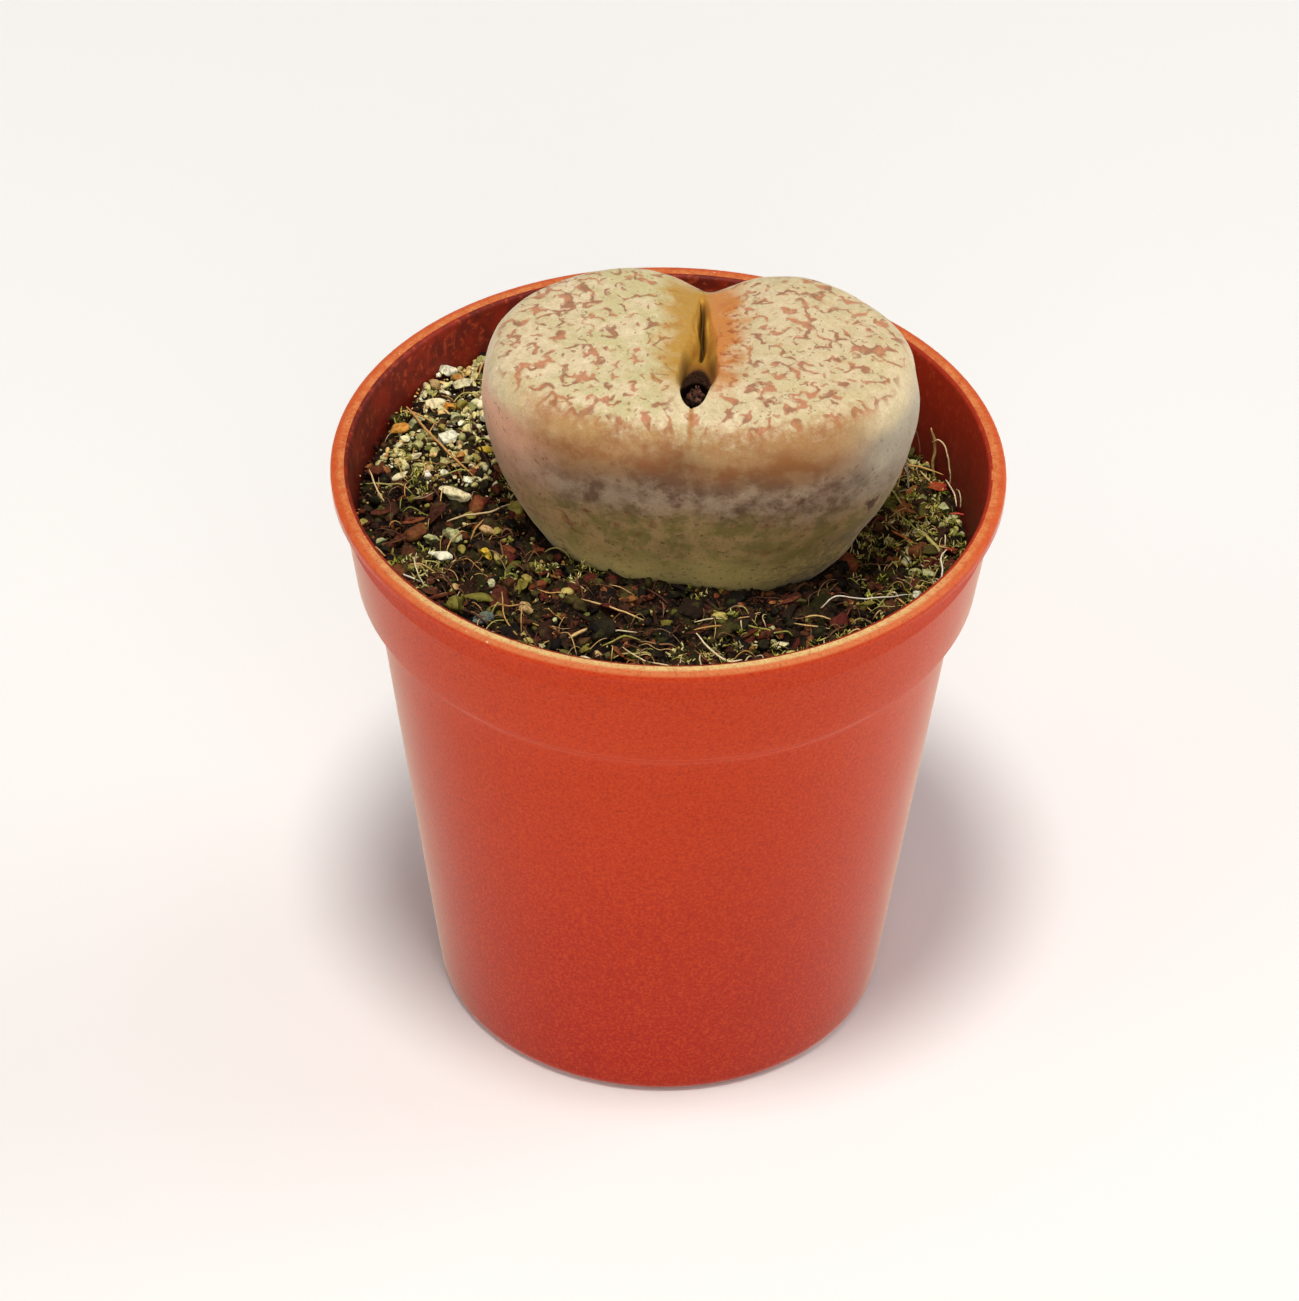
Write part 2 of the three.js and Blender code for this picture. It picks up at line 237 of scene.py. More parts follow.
def colour(red, green, blue):
    # screen colour, 0 to 255, as linear light
    parts = [part / 255 for part in (red, green, blue)]
    linear = [part / 12.92 if part <= 0.04045 else ((part + 0.055) / 1.055) ** 2.4 for part in parts]
    return (*linear, 1)


class Wire:
    # a socket that can be reckoned with; every sum or product adds its Math node
    def __init__(self, finish, socket):
        self.finish = finish
        self.socket = socket

    def reckon(self, operation, *values):
        inputs = dict(enumerate(values))
        return self.finish.node("Math", {"operation": operation}, inputs)

    def __add__(self, other):
        return self.reckon("ADD", self, other)

    def __radd__(self, other):
        return self.reckon("ADD", other, self)

    def __sub__(self, other):
        return self.reckon("SUBTRACT", self, other)

    def __rsub__(self, other):
        return self.reckon("SUBTRACT", other, self)

    def __mul__(self, other):
        return self.reckon("MULTIPLY", self, other)

    def __rmul__(self, other):
        return self.reckon("MULTIPLY", other, self)

    def __truediv__(self, other):
        return self.reckon("DIVIDE", self, other)

    def __pow__(self, other):
        return self.reckon("POWER", self, other)

    def __abs__(self):
        return self.reckon("ABSOLUTE", self)

    def atMost(self, other):
        return self.reckon("MINIMUM", self, other)

    def atLeast(self, other):
        return self.reckon("MAXIMUM", self, other)


class Finish:
    # one material, built from nodes around its Principled shader
    def __init__(self, name, **fixed):
        self.material = bpy.data.materials.new(name)
        self.material.use_nodes = True
        self.tree = self.material.node_tree
        self.shader = self.tree.nodes["Principled BSDF"]
        for socket, value in fixed.items():
            self.shader.inputs[socket.replace("_", " ")].default_value = value

    def node(self, kind, settings=None, sockets=None, output=0):
        made = self.tree.nodes.new("ShaderNode" + kind)
        for key, value in (settings or {}).items():
            if key == "stops":
                self.setStops(made.color_ramp, value)
            else:
                setattr(made, key, value)
        for key, value in (sockets or {}).items():
            self.feed(made.inputs[key], value)
        return Wire(self, made.outputs[output])

    def setStops(self, ramp, stops):
        while len(ramp.elements) < len(stops):
            ramp.elements.new(1)
        for element, (position, value) in zip(ramp.elements, stops):
            element.position = position
            element.color = value

    def feed(self, socket, value):
        if isinstance(value, Wire):
            self.tree.links.new(value.socket, socket)
        else:
            socket.default_value = value

    def place(self):
        # where a point of the surface is, in millimetres
        where = self.node("TexCoord", output="Object")
        return self.node("VectorMath", {"operation": "SCALE"}, {0: where, "Scale": 1000})

    def parts(self, vector):
        split = self.node("SeparateXYZ", sockets={0: vector})
        return [Wire(self, socket) for socket in split.socket.node.outputs]

    def noise(self, where, width, detail=2.0, rough=0.5, shift=0.0, output=0):
        moved = self.node("VectorMath", {"operation": "ADD"}, {0: where, 1: (shift, shift * 1.7, -shift)})
        sockets = {"Vector": moved, "Scale": 1 / width, "Detail": detail, "Roughness": rough}
        return self.node("TexNoise", None, sockets, output)

    def cells(self, where, width):
        # the distance to the nearest of many scattered points of the plan
        return self.node("TexVoronoi", {"voronoi_dimensions": "2D"}, {"Vector": where, "Scale": 1 / width})

    def warped(self, where, width, amount):
        swirl = self.noise(where, width, output=1)
        centred = self.node("VectorMath", {"operation": "SUBTRACT"}, {0: swirl, 1: (0.5, 0.5, 0.5)})
        push = self.node("VectorMath", {"operation": "SCALE"}, {0: centred, "Scale": amount})
        return self.node("VectorMath", {"operation": "ADD"}, {0: where, 1: push})

    def ease(self, value, low, high):
        sockets = {"Value": value, "From Min": low, "From Max": high}
        return self.node("MapRange", {"interpolation_type": "SMOOTHSTEP"}, sockets)

    def mix(self, amount, first, second):
        return self.node("Mix", {"data_type": "RGBA"}, {0: amount, 6: first, 7: second}, 2)

    def island(self):
        # a number from 0 to 1 that differs from grain to grain
        return self.node("NewGeometry", output="Random Per Island")

    def bump(self, *layers):
        # each layer is a height in millimetres
        height = sum(layers[1:], layers[0])
        sockets = {"Height": height * mm, "Distance": 1.0, "Strength": 1.0}
        self.feed(self.shader.inputs["Normal"], self.node("Bump", None, sockets))

    def done(self, base, roughness=None):
        self.feed(self.shader.inputs["Base Color"], base)
        if roughness is not None:
            self.feed(self.shader.inputs["Roughness"], roughness)
        return self.material


# The pot, turned about its axis

potHigh = millimetres("pot")[1]
pot = {
    "rimRadius": potHigh.x,
    "height": potHigh.z,
    "lipHeight": 1.0,
    "lipOverhang": 0.75,
    "collarHeight": 10.3,
    "collarTaper": 1.3,
    "stepIn": 1.5,
    "stepHeight": 1.3,
    "footRadius": 18.6,
    "wall": 0.7,
    "floor": 0.9,
    "recessRadius": 13.5,
    "recessHeight": 1.1,
    "holeRadius": 2.1,
    "holeCircle": 9.2,
    "holeCount": 5,
    "rays": 240,
}
collarRadius = pot["rimRadius"] - pot["lipOverhang"]
collarFoot = collarRadius - pot["collarTaper"]
stepLevel = pot["height"] - pot["collarHeight"]
bodyTop = collarFoot - pot["stepIn"]
bodySlope = (bodyTop - pot["footRadius"]) / (stepLevel - pot["stepHeight"])


def wallRadius(height):
    # inside of the wall
    collar = collarFoot + pot["collarTaper"] * (height - stepLevel) / (pot["collarHeight"] - pot["lipHeight"])
    body = pot["footRadius"] + bodySlope * height
    return np.where(height > stepLevel - 0.3, collar, body) - pot["wall"]


def potProfile():
    # (radius, height, rounding) from the middle of the floor inside to the middle of the underside
    floorLevel = pot["recessHeight"] + pot["floor"]
    top = pot["height"]
    lipUnder = top - pot["lipHeight"]
    inside = collarRadius - pot["wall"]
    corners = [
        (0.01, floorLevel, 0),
        (float(wallRadius(floorLevel)), floorLevel, 1.2),
        (bodyTop - pot["wall"], stepLevel - pot["stepHeight"] - 0.3, 0.5),
        (collarFoot - pot["wall"], stepLevel - 0.2, 0.6),
        (inside, top, 0.32),
        (pot["rimRadius"], top, 0.42),
        (pot["rimRadius"], lipUnder, 0.22),
        (collarRadius + 0.05, lipUnder, 0.25),
        (collarFoot, stepLevel, 0.35),
        (bodyTop, stepLevel - pot["stepHeight"], 0.8),
        (pot["footRadius"], 0, 1.1),
        (pot["recessRadius"], 0, 0.4),
        (pot["recessRadius"] - 1, pot["recessHeight"], 0.4),
        (0.01, pot["recessHeight"], 0),
    ]
    return roundCorners(corners, steps=6)


def splitLong(profile, longest=2.5):
    made = [profile[0]]
    for start, end in zip(profile, profile[1:]):
        count = max(1, math.ceil(np.linalg.norm(end - start) / longest))
        made.extend(start + (end - start) * (i + 1) / count for i in range(count))
    return np.array(made)


def potPlastic(name, bloom):
    # injection-moulded plastic, satin, paler where the lip is rubbed, with painted shade towards the foot and
    # painted glints on the lip
    plastic = Finish(name, IOR=1.4, Specular_IOR_Level=0.2, Sheen_Weight=bloom, Sheen_Roughness=0.3)
    plastic.shader.inputs["Sheen Tint"].default_value = colour(255, 244, 224)
    where = plastic.place()
    x, y, height = plastic.parts(where)
    rim = plastic.ease(height, pot["height"] - 0.35, pot["height"] - 0.08)
    outer = plastic.ease((x * x + y * y) ** 0.5, pot["rimRadius"] - 0.8, pot["rimRadius"] - 0.35)

    cloud = plastic.noise(where, 9, detail=3)
    speckle = plastic.noise(where, 0.25, detail=2, rough=0.7)
    fleck = plastic.ease(plastic.noise(where, 0.55, detail=1, shift=31), 0.72, 0.78)
    # painted shade: the red darkens and deepens towards the foot of the pot
    red = plastic.mix(plastic.ease(height, 0, 44), colour(170, 22, 3), colour(200, 54, 8))
    red = plastic.mix(cloud * 0.25, red, colour(198, 66, 18))
    red = plastic.mix(plastic.ease(speckle, 0.46, 0.66) * 0.45, red, colour(218, 84, 30))
    red = plastic.mix(plastic.ease(speckle, 0.46, 0.3) * 0.45, red, colour(138, 26, 14))
    red = plastic.mix(fleck * 0.2, red, colour(140, 36, 22))

    worn = plastic.ease(plastic.noise(where, 0.9, detail=4, rough=0.7, shift=7), 0.3, 0.7)
    lipTone = plastic.mix(worn, colour(204, 98, 46), colour(226, 146, 84))
    lipTone = plastic.mix(plastic.ease(y, -8, -23) * (worn * 0.4 + 0.55), lipTone, colour(230, 212, 142))
    lipTone = plastic.mix(outer * 0.75, lipTone, colour(206, 78, 30))
    lipTone = plastic.mix(plastic.ease(speckle, 0.52, 0.64) * 0.5, lipTone, colour(136, 72, 42))
    # painted highlights: tiny near-white glints scattered over the lip
    paintedGlints = plastic.ease(plastic.noise(where, 0.6, detail=1, shift=37), 0.76, 0.8)
    lipTone = plastic.mix(paintedGlints * 0.8, lipTone, colour(252, 226, 190))
    red = plastic.mix(rim * (cloud * 0.3 + 0.7), red, lipTone)

    plastic.bump(speckle * 0.012, cloud * 0.05, rim * worn * 0.02)
    return plastic.done(red, 0.46 + speckle * 0.12 + rim * 0.1)


def innerPlastic():
    # the same plastic inside, stained by wet soil, darker towards the soil, and with painted light making it
    # brighter red towards the right
    plastic = Finish("innerPlastic", Specular_IOR_Level=0.3)
    where = plastic.place()
    x, y, height = plastic.parts(where)
    stain = plastic.noise(where, 2.2, detail=5, rough=0.65, shift=13)
    spots = plastic.ease(plastic.noise(where, 0.7, detail=3, rough=0.7, shift=19), 0.52, 0.66)
    tone = plastic.mix(plastic.ease(stain, 0.35, 0.62), colour(150, 38, 13), colour(106, 25, 9))
    tone = plastic.mix(spots * 0.4, tone, colour(214, 92, 48))
    tone = plastic.mix(plastic.ease(x, 6, 22) * stain, tone, colour(190, 48, 17))  # painted light: brighter red towards the right
    # partly soil staining and partly painted shade: the wall darkens towards the soil
    darkerLow = plastic.ease(height + stain * 6, pot["height"] + 2.5, pot["height"] - 6)
    tone = plastic.mix(darkerLow * 0.75, tone, colour(70, 20, 10))
    plastic.bump(stain * 0.08)
    return plastic.done(tone, 0.5 + stain * 0.2)


def drilled(piece):
    # the drain holes
    cutter = Heap()
    rays = np.linspace(0, 2 * math.pi, 28, endpoint=False)
    for index in range(pot["holeCount"]):
        angle = index / pot["holeCount"] * 2 * math.pi + math.pi / 10
        middle = np.array([pot["holeCircle"] * math.cos(angle), pot["holeCircle"] * math.sin(angle), 0])
        circle = np.stack([np.cos(rays), np.sin(rays), 0 * rays], axis=1) * pot["holeRadius"] + middle
        rings = [circle + (0, 0, 4), circle + (0, 0, -1)]
        cutter.add(skinPoints(middle + (0, 0, 4), rings, middle + (0, 0, -1)), skinFaces(2, len(rays)))
    tool = cutter.piece("drill", [])
    modifier = piece.modifiers.new("holes", "BOOLEAN")
    modifier.object = tool
    modifier.solver = "EXACT"
    bpy.context.view_layer.update()
    cut = bpy.data.meshes.new_from_object(piece.evaluated_get(bpy.context.evaluated_depsgraph_get()))
    piece.modifiers.clear()
    piece.data = cut
    cut.set_sharp_from_angle(angle=math.radians(40))
    bpy.data.objects.remove(tool)


def makePot():
    profile = splitLong(potProfile())
    angles = np.linspace(0, 2 * math.pi, pot["rays"], endpoint=False)
    rings = []
    for radius, height in profile[1:-1]:
        ring = np.stack([radius * np.cos(angles), radius * np.sin(angles), 0 * angles + height], axis=1)
        rings.append(ring)
    points = skinPoints((0, 0, profile[0][1]), rings, (0, 0, profile[-1][1]))
    faces = skinFaces(len(rings), pot["rays"])
    lip = np.argmax(profile[:, 1])
    levels = np.array([max(face) // pot["rays"] for face in faces])
    kinds = np.where(levels < lip, 1, 0)
    # the ledges under the lip and the collar carry no bloom
    lipUnder = pot["height"] - pot["lipHeight"]
    for ledge, reach in ((stepLevel - 0.6, 0.9), (lipUnder - 0.05, 0.3)):
        kinds[(levels > lip) & (np.abs(profile[levels, 1] - ledge) < reach)] = 2
    finishes = [potPlastic("potPlastic", 1.0), innerPlastic(), potPlastic("stepPlastic", 0.0)]
    piece = meshPiece("nursery_pot", points, faces, finishes, kinds, sharpAngle=40)
    drilled(piece)
    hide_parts("pot")
    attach(piece, "root")


makePot()
print("pot made")


# The plant: one head of two fused leaves, with its neck and taproot

plantLow, plantHigh = millimetres("plant")
plant = {
    "centre": (2.4, 2.0),
    "yaw": math.radians(-4),
    "halfWidth": 17.65,
    "halfBack": 12.6,
    "halfFront": 12.2,
    "squareness": (2.35, 2.14),  # front, back
    "notch": (0.2, 19),  # depth and spread in degrees of the dent at the back
    "crease": (0.025, 7),  # the same, in front
    "top": plantHigh.z + 0.15,
    "crown": 1.0,
    "valley": (0.8, 4.0),
    "rays": 370,
    "topRings": 76,
}
fissure = {
    "back": 8.1,
    "front": -3.2,
    "halfWidth": 1.6,
    "depth": 1.5,
    "slit": (6.9, 0.2, 0.9),  # back and front end, and depth
}
hole = {
    "x": 0.0,
    "y": -6.1,
    "halfWidth": 1.25,
    "halfLength": 3.0,
    "depth": 3.7,
    # its wall from the bottom up: share of the mouth's width, share of the depth
    "wall": [(0.4, 1.0), (0.75, 0.98), (0.98, 0.88), (1.04, 0.7), (1.04, 0.5), (1.0, 0.34), (0.96, 0.2),
             (0.94, 0.11), (0.945, 0.05), (0.97, 0.015)],
}
scab = {"x": 14.3, "y": -6.8, "drop": 10.3}

# over the edge of the leaf tops and down the side: (share of the outline, drop below the top)
edgeCurve = [
    (0.8, 0.59), (0.86, 0.78), (0.91, 1.12), (0.95, 1.75), (0.976, 2.6), (0.992, 3.7),
    (1.0, 5.2), (0.998, 7.0), (0.975, 9.1), (0.93, 11.6), (0.862, 14.4), (0.775, 17.2),
    (0.665, 20.0), (0.5, 22.8), (0.33, 25.0), (0.17, 28.0), (0.1, 33.0), (0.055, 40.0),
]


def outline(angle):
    # radius of the head's plan about its centre
    side = np.sin(angle)
    depth = np.where(side > 0, plant["halfBack"], plant["halfFront"])
    front, back = plant["squareness"]
    power = front + (back - front) * smooth(-0.3, 0.3, side)
    wide = np.abs(np.cos(angle)) / plant["halfWidth"]
    radius = (wide**power + (np.abs(side) / depth) ** power) ** (-1 / power)
    fromBack = np.degrees(np.arccos(np.clip(side, -1, 1)))
    dent = plant["notch"][0] * bell(fromBack, plant["notch"][1])
    dent += plant["crease"][0] * bell(180 - fromBack, plant["crease"][1])
    return radius * (1 - dent)


def fissureLine(y):
    # the slit bends a little to the left at its back
    return 0.05 - 0.5 * smooth(1, 8, y) + 0.08 * np.sin(y * 1.4)


def fissureWidth(y):
    # half the width of the channel between the leaves, from a point at the back to its full width in front
    along = np.clip((fissure["back"] - y) / (fissure["back"] - fissure["front"]), 0, 1)
    return 0.15 + fissure["halfWidth"] * along**0.85


def leafTop(x, y):
    # height of the leaf tops
    share = np.hypot(x, y) / outline(np.arctan2(y, x))
    depth, spread = plant["valley"]
    height = plant["top"] - plant["crown"] * share**2.4 - depth * bell(x, spread) * smooth(-7, -1, y)
    height += 0.16 * flatLumps(x, y, 5.2, 3) + 0.07 * flatLumps(x, y, 2.3, 4) + 0.03 * flatLumps(x, y, 0.9, 5)
    # the channel, V-shaped at the back and round towards the hole
    across = np.abs(x - fissureLine(y)) / fissureWidth(y)
    floorShare = 0.05 + 0.5 * smooth(2, -3, y)
    depth = fissure["depth"] * smooth(fissure["back"] + 0.3, 2.5, y) * smooth(-7.5, -4, y)
    height -= depth * smooth(1, floorShare, across)
    back, front, deep = fissure["slit"]
    slit = bell(x - fissureLine(y), 0.15) * smooth(back, back - 1.2, y) * smooth(front - 1, front + 0.8, y)
    height -= deep * slit
    innerLips = bell(np.abs(x - fissureLine(y)) - 0.36, 0.16) * bell(y - 3.1, 1.1)
    height += 0.4 * innerLips
    # the seam in front of the hole
    height -= 0.14 * bell(x + 0.08 * np.sin(y * 1.9), 0.13) * smooth(-8.4, -9.2, y)
    return height


def reachOutline(angles, share):
    # how far rays from the hole run to a share of the outline
    low, high = np.zeros(len(angles)), np.full(len(angles), 40.0)
    for _ in range(40):
        middle = (low + high) / 2
        x = hole["x"] + middle * np.cos(angles)
        y = hole["y"] + middle * np.sin(angles)
        inside = np.hypot(x, y) < share * outline(np.arctan2(y, x))
        low, high = np.where(inside, middle, low), np.where(inside, high, middle)
    return low


def headRings():
    # rays start at the hole and lie closest together along the slit behind it
    share = np.linspace(-1, 1, plant["rays"], endpoint=False)
    angles = math.pi / 2 + math.pi * np.sign(share) * np.abs(share) ** 1.7
    cosines, sines = np.cos(angles), np.sin(angles)
    mouth = 1 / np.hypot(cosines / hole["halfWidth"], sines / hole["halfLength"])
    edge = reachOutline(angles, edgeCurve[0][0])
    floor = plant["top"] - hole["depth"]

    def onRays(distance):
        return hole["x"] + distance * cosines, hole["y"] + distance * sines

    rings = []
    mouthHeight = leafTop(*onRays(mouth))
    for size, deep in hole["wall"]:
        x, y = onRays(mouth * size)
        rough = 0.08 * flatLumps(x, y, 0.7, 21)
        rings.append(np.stack([x, y, mouthHeight + (floor - mouthHeight) * deep + rough * deep], axis=1))
    for share in np.linspace(0, 1, plant["topRings"]) ** 1.5:
        x, y = onRays(mouth + (edge - mouth) * share)
        rings.append(np.stack([x, y, leafTop(x, y)], axis=1))

    around = np.arctan2(*onRays(edge)[::-1])
    fromBack = np.degrees(np.arccos(np.sin(around)))
    start = rings[-1][:, 2]
    for share, drop in curveThrough(edgeCurve, 5)[1:]:
        groove = 0.05 * bell(fromBack, 9) * smooth(14, 3, drop)
        groove += 0.012 * bell(180 - fromBack, 2.2) * smooth(9, 3, drop)
        radius = outline(around) * share * (1 - groove)
        x, y = radius * np.cos(around), radius * np.sin(around)
        height = plant["top"] - drop + (start - plant["top"] + edgeCurve[0][1]) * smooth(5, 0.6, drop)
        dents = lumps(np.stack([x, y, height * 1.3], axis=1), 4.5, 6) * 0.2
        dents += lumps(np.stack([x, y, height], axis=1), 1.6, 7) * 0.05
        swell = dents * smooth(0.6, 3, drop)
        rings.append(np.stack([x * (1 + swell / radius), y * (1 + swell / radius), height], axis=1))
    return rings, floor


def inPot(points):
    # from the head's own frame to the pot's
    return turned(np.asarray(points), (0, 0, plant["yaw"])) + (*plant["centre"], 0)


def headPlace(finish):
    # a shader's place in the head's own frame
    where = finish.place()
    moved = finish.node("VectorMath", {"operation": "SUBTRACT"}, {0: where, 1: (*plant["centre"], 0)})
    sockets = {"Vector": moved, "Angle": -plant["yaw"]}
    return finish.node("VectorRotate", {"rotation_type": "Z_AXIS"}, sockets)


def leafSkin(name, bloom, shine):
    # cream tops with broken red-brown lines, a tan front edge, and mauve to olive sides
    skin = Finish(name, Subsurface_Weight=0.1, Subsurface_Scale=0.0012, IOR=1.4,
                  Specular_IOR_Level=shine, Sheen_Weight=bloom, Sheen_Roughness=0.35)
    skin.shader.inputs["Subsurface Radius"].default_value = (1.0, 0.6, 0.35)
    skin.shader.inputs["Sheen Tint"].default_value = colour(255, 236, 214)
    where = headPlace(skin)
    x, y, height = skin.parts(where)
    drop = plant["top"] - height
    power = 2.3
    halfDepth = (plant["halfBack"] + plant["halfFront"]) / 2
    share = (abs(x / plant["halfWidth"]) ** power + abs(y / halfDepth) ** power) ** (1 / power)
    flatWhere = skin.node("CombineXYZ", None, {0: x, 1: y})
    fromSlit = abs(x + skin.ease(y, 1, 8) * 0.5 - 0.05)

    # the tops
    patches = skin.noise(where, 2.6, detail=3, rough=0.6)
    mottle = skin.noise(where, 0.7, detail=3, rough=0.65, shift=5)
    grain = skin.noise(where, 0.16, detail=2, rough=0.7, shift=9)
    tops = skin.mix(skin.ease(patches, 0.4, 0.62), colour(226, 206, 168), colour(213, 196, 152))
    tops = skin.mix(skin.ease(mottle, 0.45, 0.68) * 0.42, tops, colour(194, 168, 124))
    tops = skin.mix(skin.ease(mottle, 0.42, 0.28) * 0.5, tops, colour(246, 228, 196))
    leftGlow = skin.ease(x, 1, -5) * skin.ease(x, -13, -7) * skin.ease(patches, 0.38, 0.56)
    tops = skin.mix(leftGlow * 0.32, tops, colour(190, 188, 122))
    tops = skin.mix(skin.ease(x, 2, 10) * 0.25, tops, colour(196, 176, 126))

    # broken lines that wind and branch, thickest on the right leaf and along the left edge
    crowd = skin.ease(x, -3.5, -9).atLeast(skin.ease(x, 2.2, 4.5)) * 0.085
    bent = skin.warped(flatWhere, 0.9, 1.1)
    winding = abs(skin.noise(bent, 1.9, detail=1, shift=15) - 0.5)
    keep = skin.noise(flatWhere, 1.3, detail=0, shift=17) + crowd
    strokes = skin.ease(winding, 0.064, 0.026) * skin.ease(keep, 0.525, 0.6)
    fineWinding = abs(skin.noise(bent, 1.3, detail=0, shift=33) - 0.5)
    fineKeep = skin.noise(flatWhere, 0.8, detail=0, shift=23) + crowd
    fineStrokes = skin.ease(fineWinding, 0.06, 0.02) * skin.ease(fineKeep, 0.65, 0.73)
    spots = skin.ease(skin.cells(bent, 1.2), 0.17, 0.08)
    spots = spots * skin.ease(skin.noise(flatWhere, 1.1, shift=29) + crowd, 0.6, 0.68)
    marks = strokes.atLeast(fineStrokes * 0.85).atLeast(spots * 0.9)
    onTop = skin.ease(share, 0.99, 0.9) * skin.ease(fromSlit, 0.9, 2.6).atLeast(skin.ease(y, -9, -10))
    onTop = onTop * skin.ease(drop, 2.1, 1.2)
    halo = skin.ease(winding, 0.11, 0.03) * skin.ease(keep, 0.54, 0.66) * onTop
    tops = skin.mix(halo * 0.3, tops, colour(204, 150, 112))
    markTone = skin.mix(skin.ease(skin.noise(where, 1.2, detail=2, shift=41), 0.4, 0.6),
                        colour(140, 72, 46), colour(190, 110, 72))
    tops = skin.mix(marks * onTop * 0.74, tops, markTone)
    dots = skin.ease(skin.cells(flatWhere, 0.8), 0.13, 0.06)
    dots = dots * skin.ease(skin.noise(flatWhere, 0.9, shift=53), 0.54, 0.6)
    tops = skin.mix(dots * onTop * 0.7, tops, colour(96, 70, 44))

    # orange beside the slit, stronger on its right
    nearSlit = skin.ease(fromSlit + (skin.noise(where, 1.6, detail=2, shift=61) - 0.5) * 4, 4.4, 1.6)
    nearSlit = nearSlit * skin.ease(y, -8.5, -4) * skin.ease(y, 11, 7)
    slitTone = skin.mix(skin.ease(x, -1, 1), colour(182, 132, 24), colour(202, 118, 28))
    tops = skin.mix(nearSlit * 0.88, tops, slitTone)
    streaks = skin.ease(skin.noise(where, 0.6, detail=2, shift=67), 0.5, 0.64)
    streaks = streaks * skin.ease(abs(x - 2.2), 1.6, 0.4) * skin.ease(y, -6, -2) * skin.ease(y, 7, 4)
    tops = skin.mix(streaks * 0.75, tops, colour(162, 72, 34))
    leftStreaks = skin.ease(skin.noise(where, 0.6, detail=2, shift=69), 0.54, 0.66)
    leftStreaks = leftStreaks * skin.ease(abs(x + 3.2), 1.2, 0.3) * skin.ease(y, -6, -3) * skin.ease(y, 3, 1)
    tops = skin.mix(leftStreaks * 0.6, tops, colour(186, 104, 44))
    seam = skin.ease(abs(x), 0.3, 0.06) * skin.ease(y, -8.6, -9.2) * skin.ease(drop, 3.4, 1.4)
    tops = skin.mix(seam * 0.75, tops, colour(178, 116, 48))

    # the sides, in bands that wander
    wander = skin.noise(where, 5.5, detail=3, rough=0.6, shift=71)
    level = drop + (wander - 0.5) * 5 - skin.ease(y, 2, -6) * 0.8
    stain = skin.noise(where, 2.1, detail=4, rough=0.65, shift=73)
    sides = skin.mix(skin.ease(stain, 0.38, 0.62), colour(122, 92, 70), colour(156, 120, 88))
    cloudy = stain * 0.75 + mottle * 0.25
    lilac = skin.ease(level, 4.2, 6.4) * skin.ease(level, 11, 8) * skin.ease(cloudy, 0.36, 0.62)
    sides = skin.mix(lilac * 0.75, sides, colour(198, 176, 148))
    olive = skin.mix(skin.ease(cloudy, 0.4, 0.59), colour(164, 148, 82), colour(214, 178, 120))
    sides = skin.mix(skin.ease(level, 7, 11), sides, olive)
    # partly the neck's own pale colour and partly painted light: the lowest part is made paler to lift the
    # shade under the head
    sides = skin.mix(skin.ease(level, 12, 17) * 0.9, sides, colour(246, 226, 140))
    rust = skin.ease(skin.noise(where, 1.3, detail=3, rough=0.7, shift=75), 0.54, 0.68)
    rust = rust * skin.ease(level, 6, 10)
    sides = skin.mix(rust * (skin.ease(x, 0, -8) * 0.3 + 0.35), sides, colour(160, 84, 56))
    # partly the sides' olive and partly painted shade: dark olive low on the right side
    darkerLow = skin.ease(x, 2, 11) * skin.ease(level, 9, 14) * skin.ease(mottle, 0.35, 0.6)
    sides = skin.mix(darkerLow * 0.6, sides, colour(112, 110, 50))
    # partly the left side's pink and partly painted sheen: pale pink over the left side
    leftPinkSheen = skin.ease(x, -9, -15.5) * skin.ease(drop, 16, 5)
    sides = skin.mix(leftPinkSheen * 0.85, sides, colour(240, 180, 146))
    # painted sheen: whitish grey over the right side
    pale = skin.ease(x, 11, 16) * skin.ease(drop, 14, 4)
    sides = skin.mix(pale * 0.8, sides, colour(188, 180, 156))
    marksBelow = skin.ease(skin.noise(where, 0.5, detail=2, shift=79), 0.62, 0.7)
    sides = skin.mix(marksBelow * 0.5, sides, colour(104, 66, 50))
    upAndDown = (drop - scab["drop"]) * 0.7
    fromScab = ((x - scab["x"]) ** 2 + (y - scab["y"]) ** 2 + upAndDown**2) ** 0.5
    scabbed = skin.ease(fromScab + (mottle - 0.5) * 2, 0.9, 0.4)
    sides = skin.mix(scabbed * 0.85, sides, colour(72, 26, 20))

    # the tan band over the front edge
    overEdge = skin.ease(drop + (wander - 0.5) * 1.6, 2.2, 4.4)
    base = skin.mix(overEdge, tops, sides)
    band = skin.ease(share + (mottle - 0.5) * 0.2, 0.83, 0.97)
    band = band * skin.ease(drop + (wander - 0.5) * 3 + (cloudy - 0.5) * 4, 6.6, 2.6)
    band = band * skin.ease(y, 1, -5) * skin.ease(abs(x), 16, 11)
    bandTone = skin.mix(skin.ease(stain, 0.36, 0.64), colour(164, 98, 46), colour(186, 138, 80))
    bandTone = skin.mix(skin.ease(x, 1, 9) * 0.55, bandTone, colour(160, 98, 38))
    base = skin.mix(band * 0.85, base, bandTone)
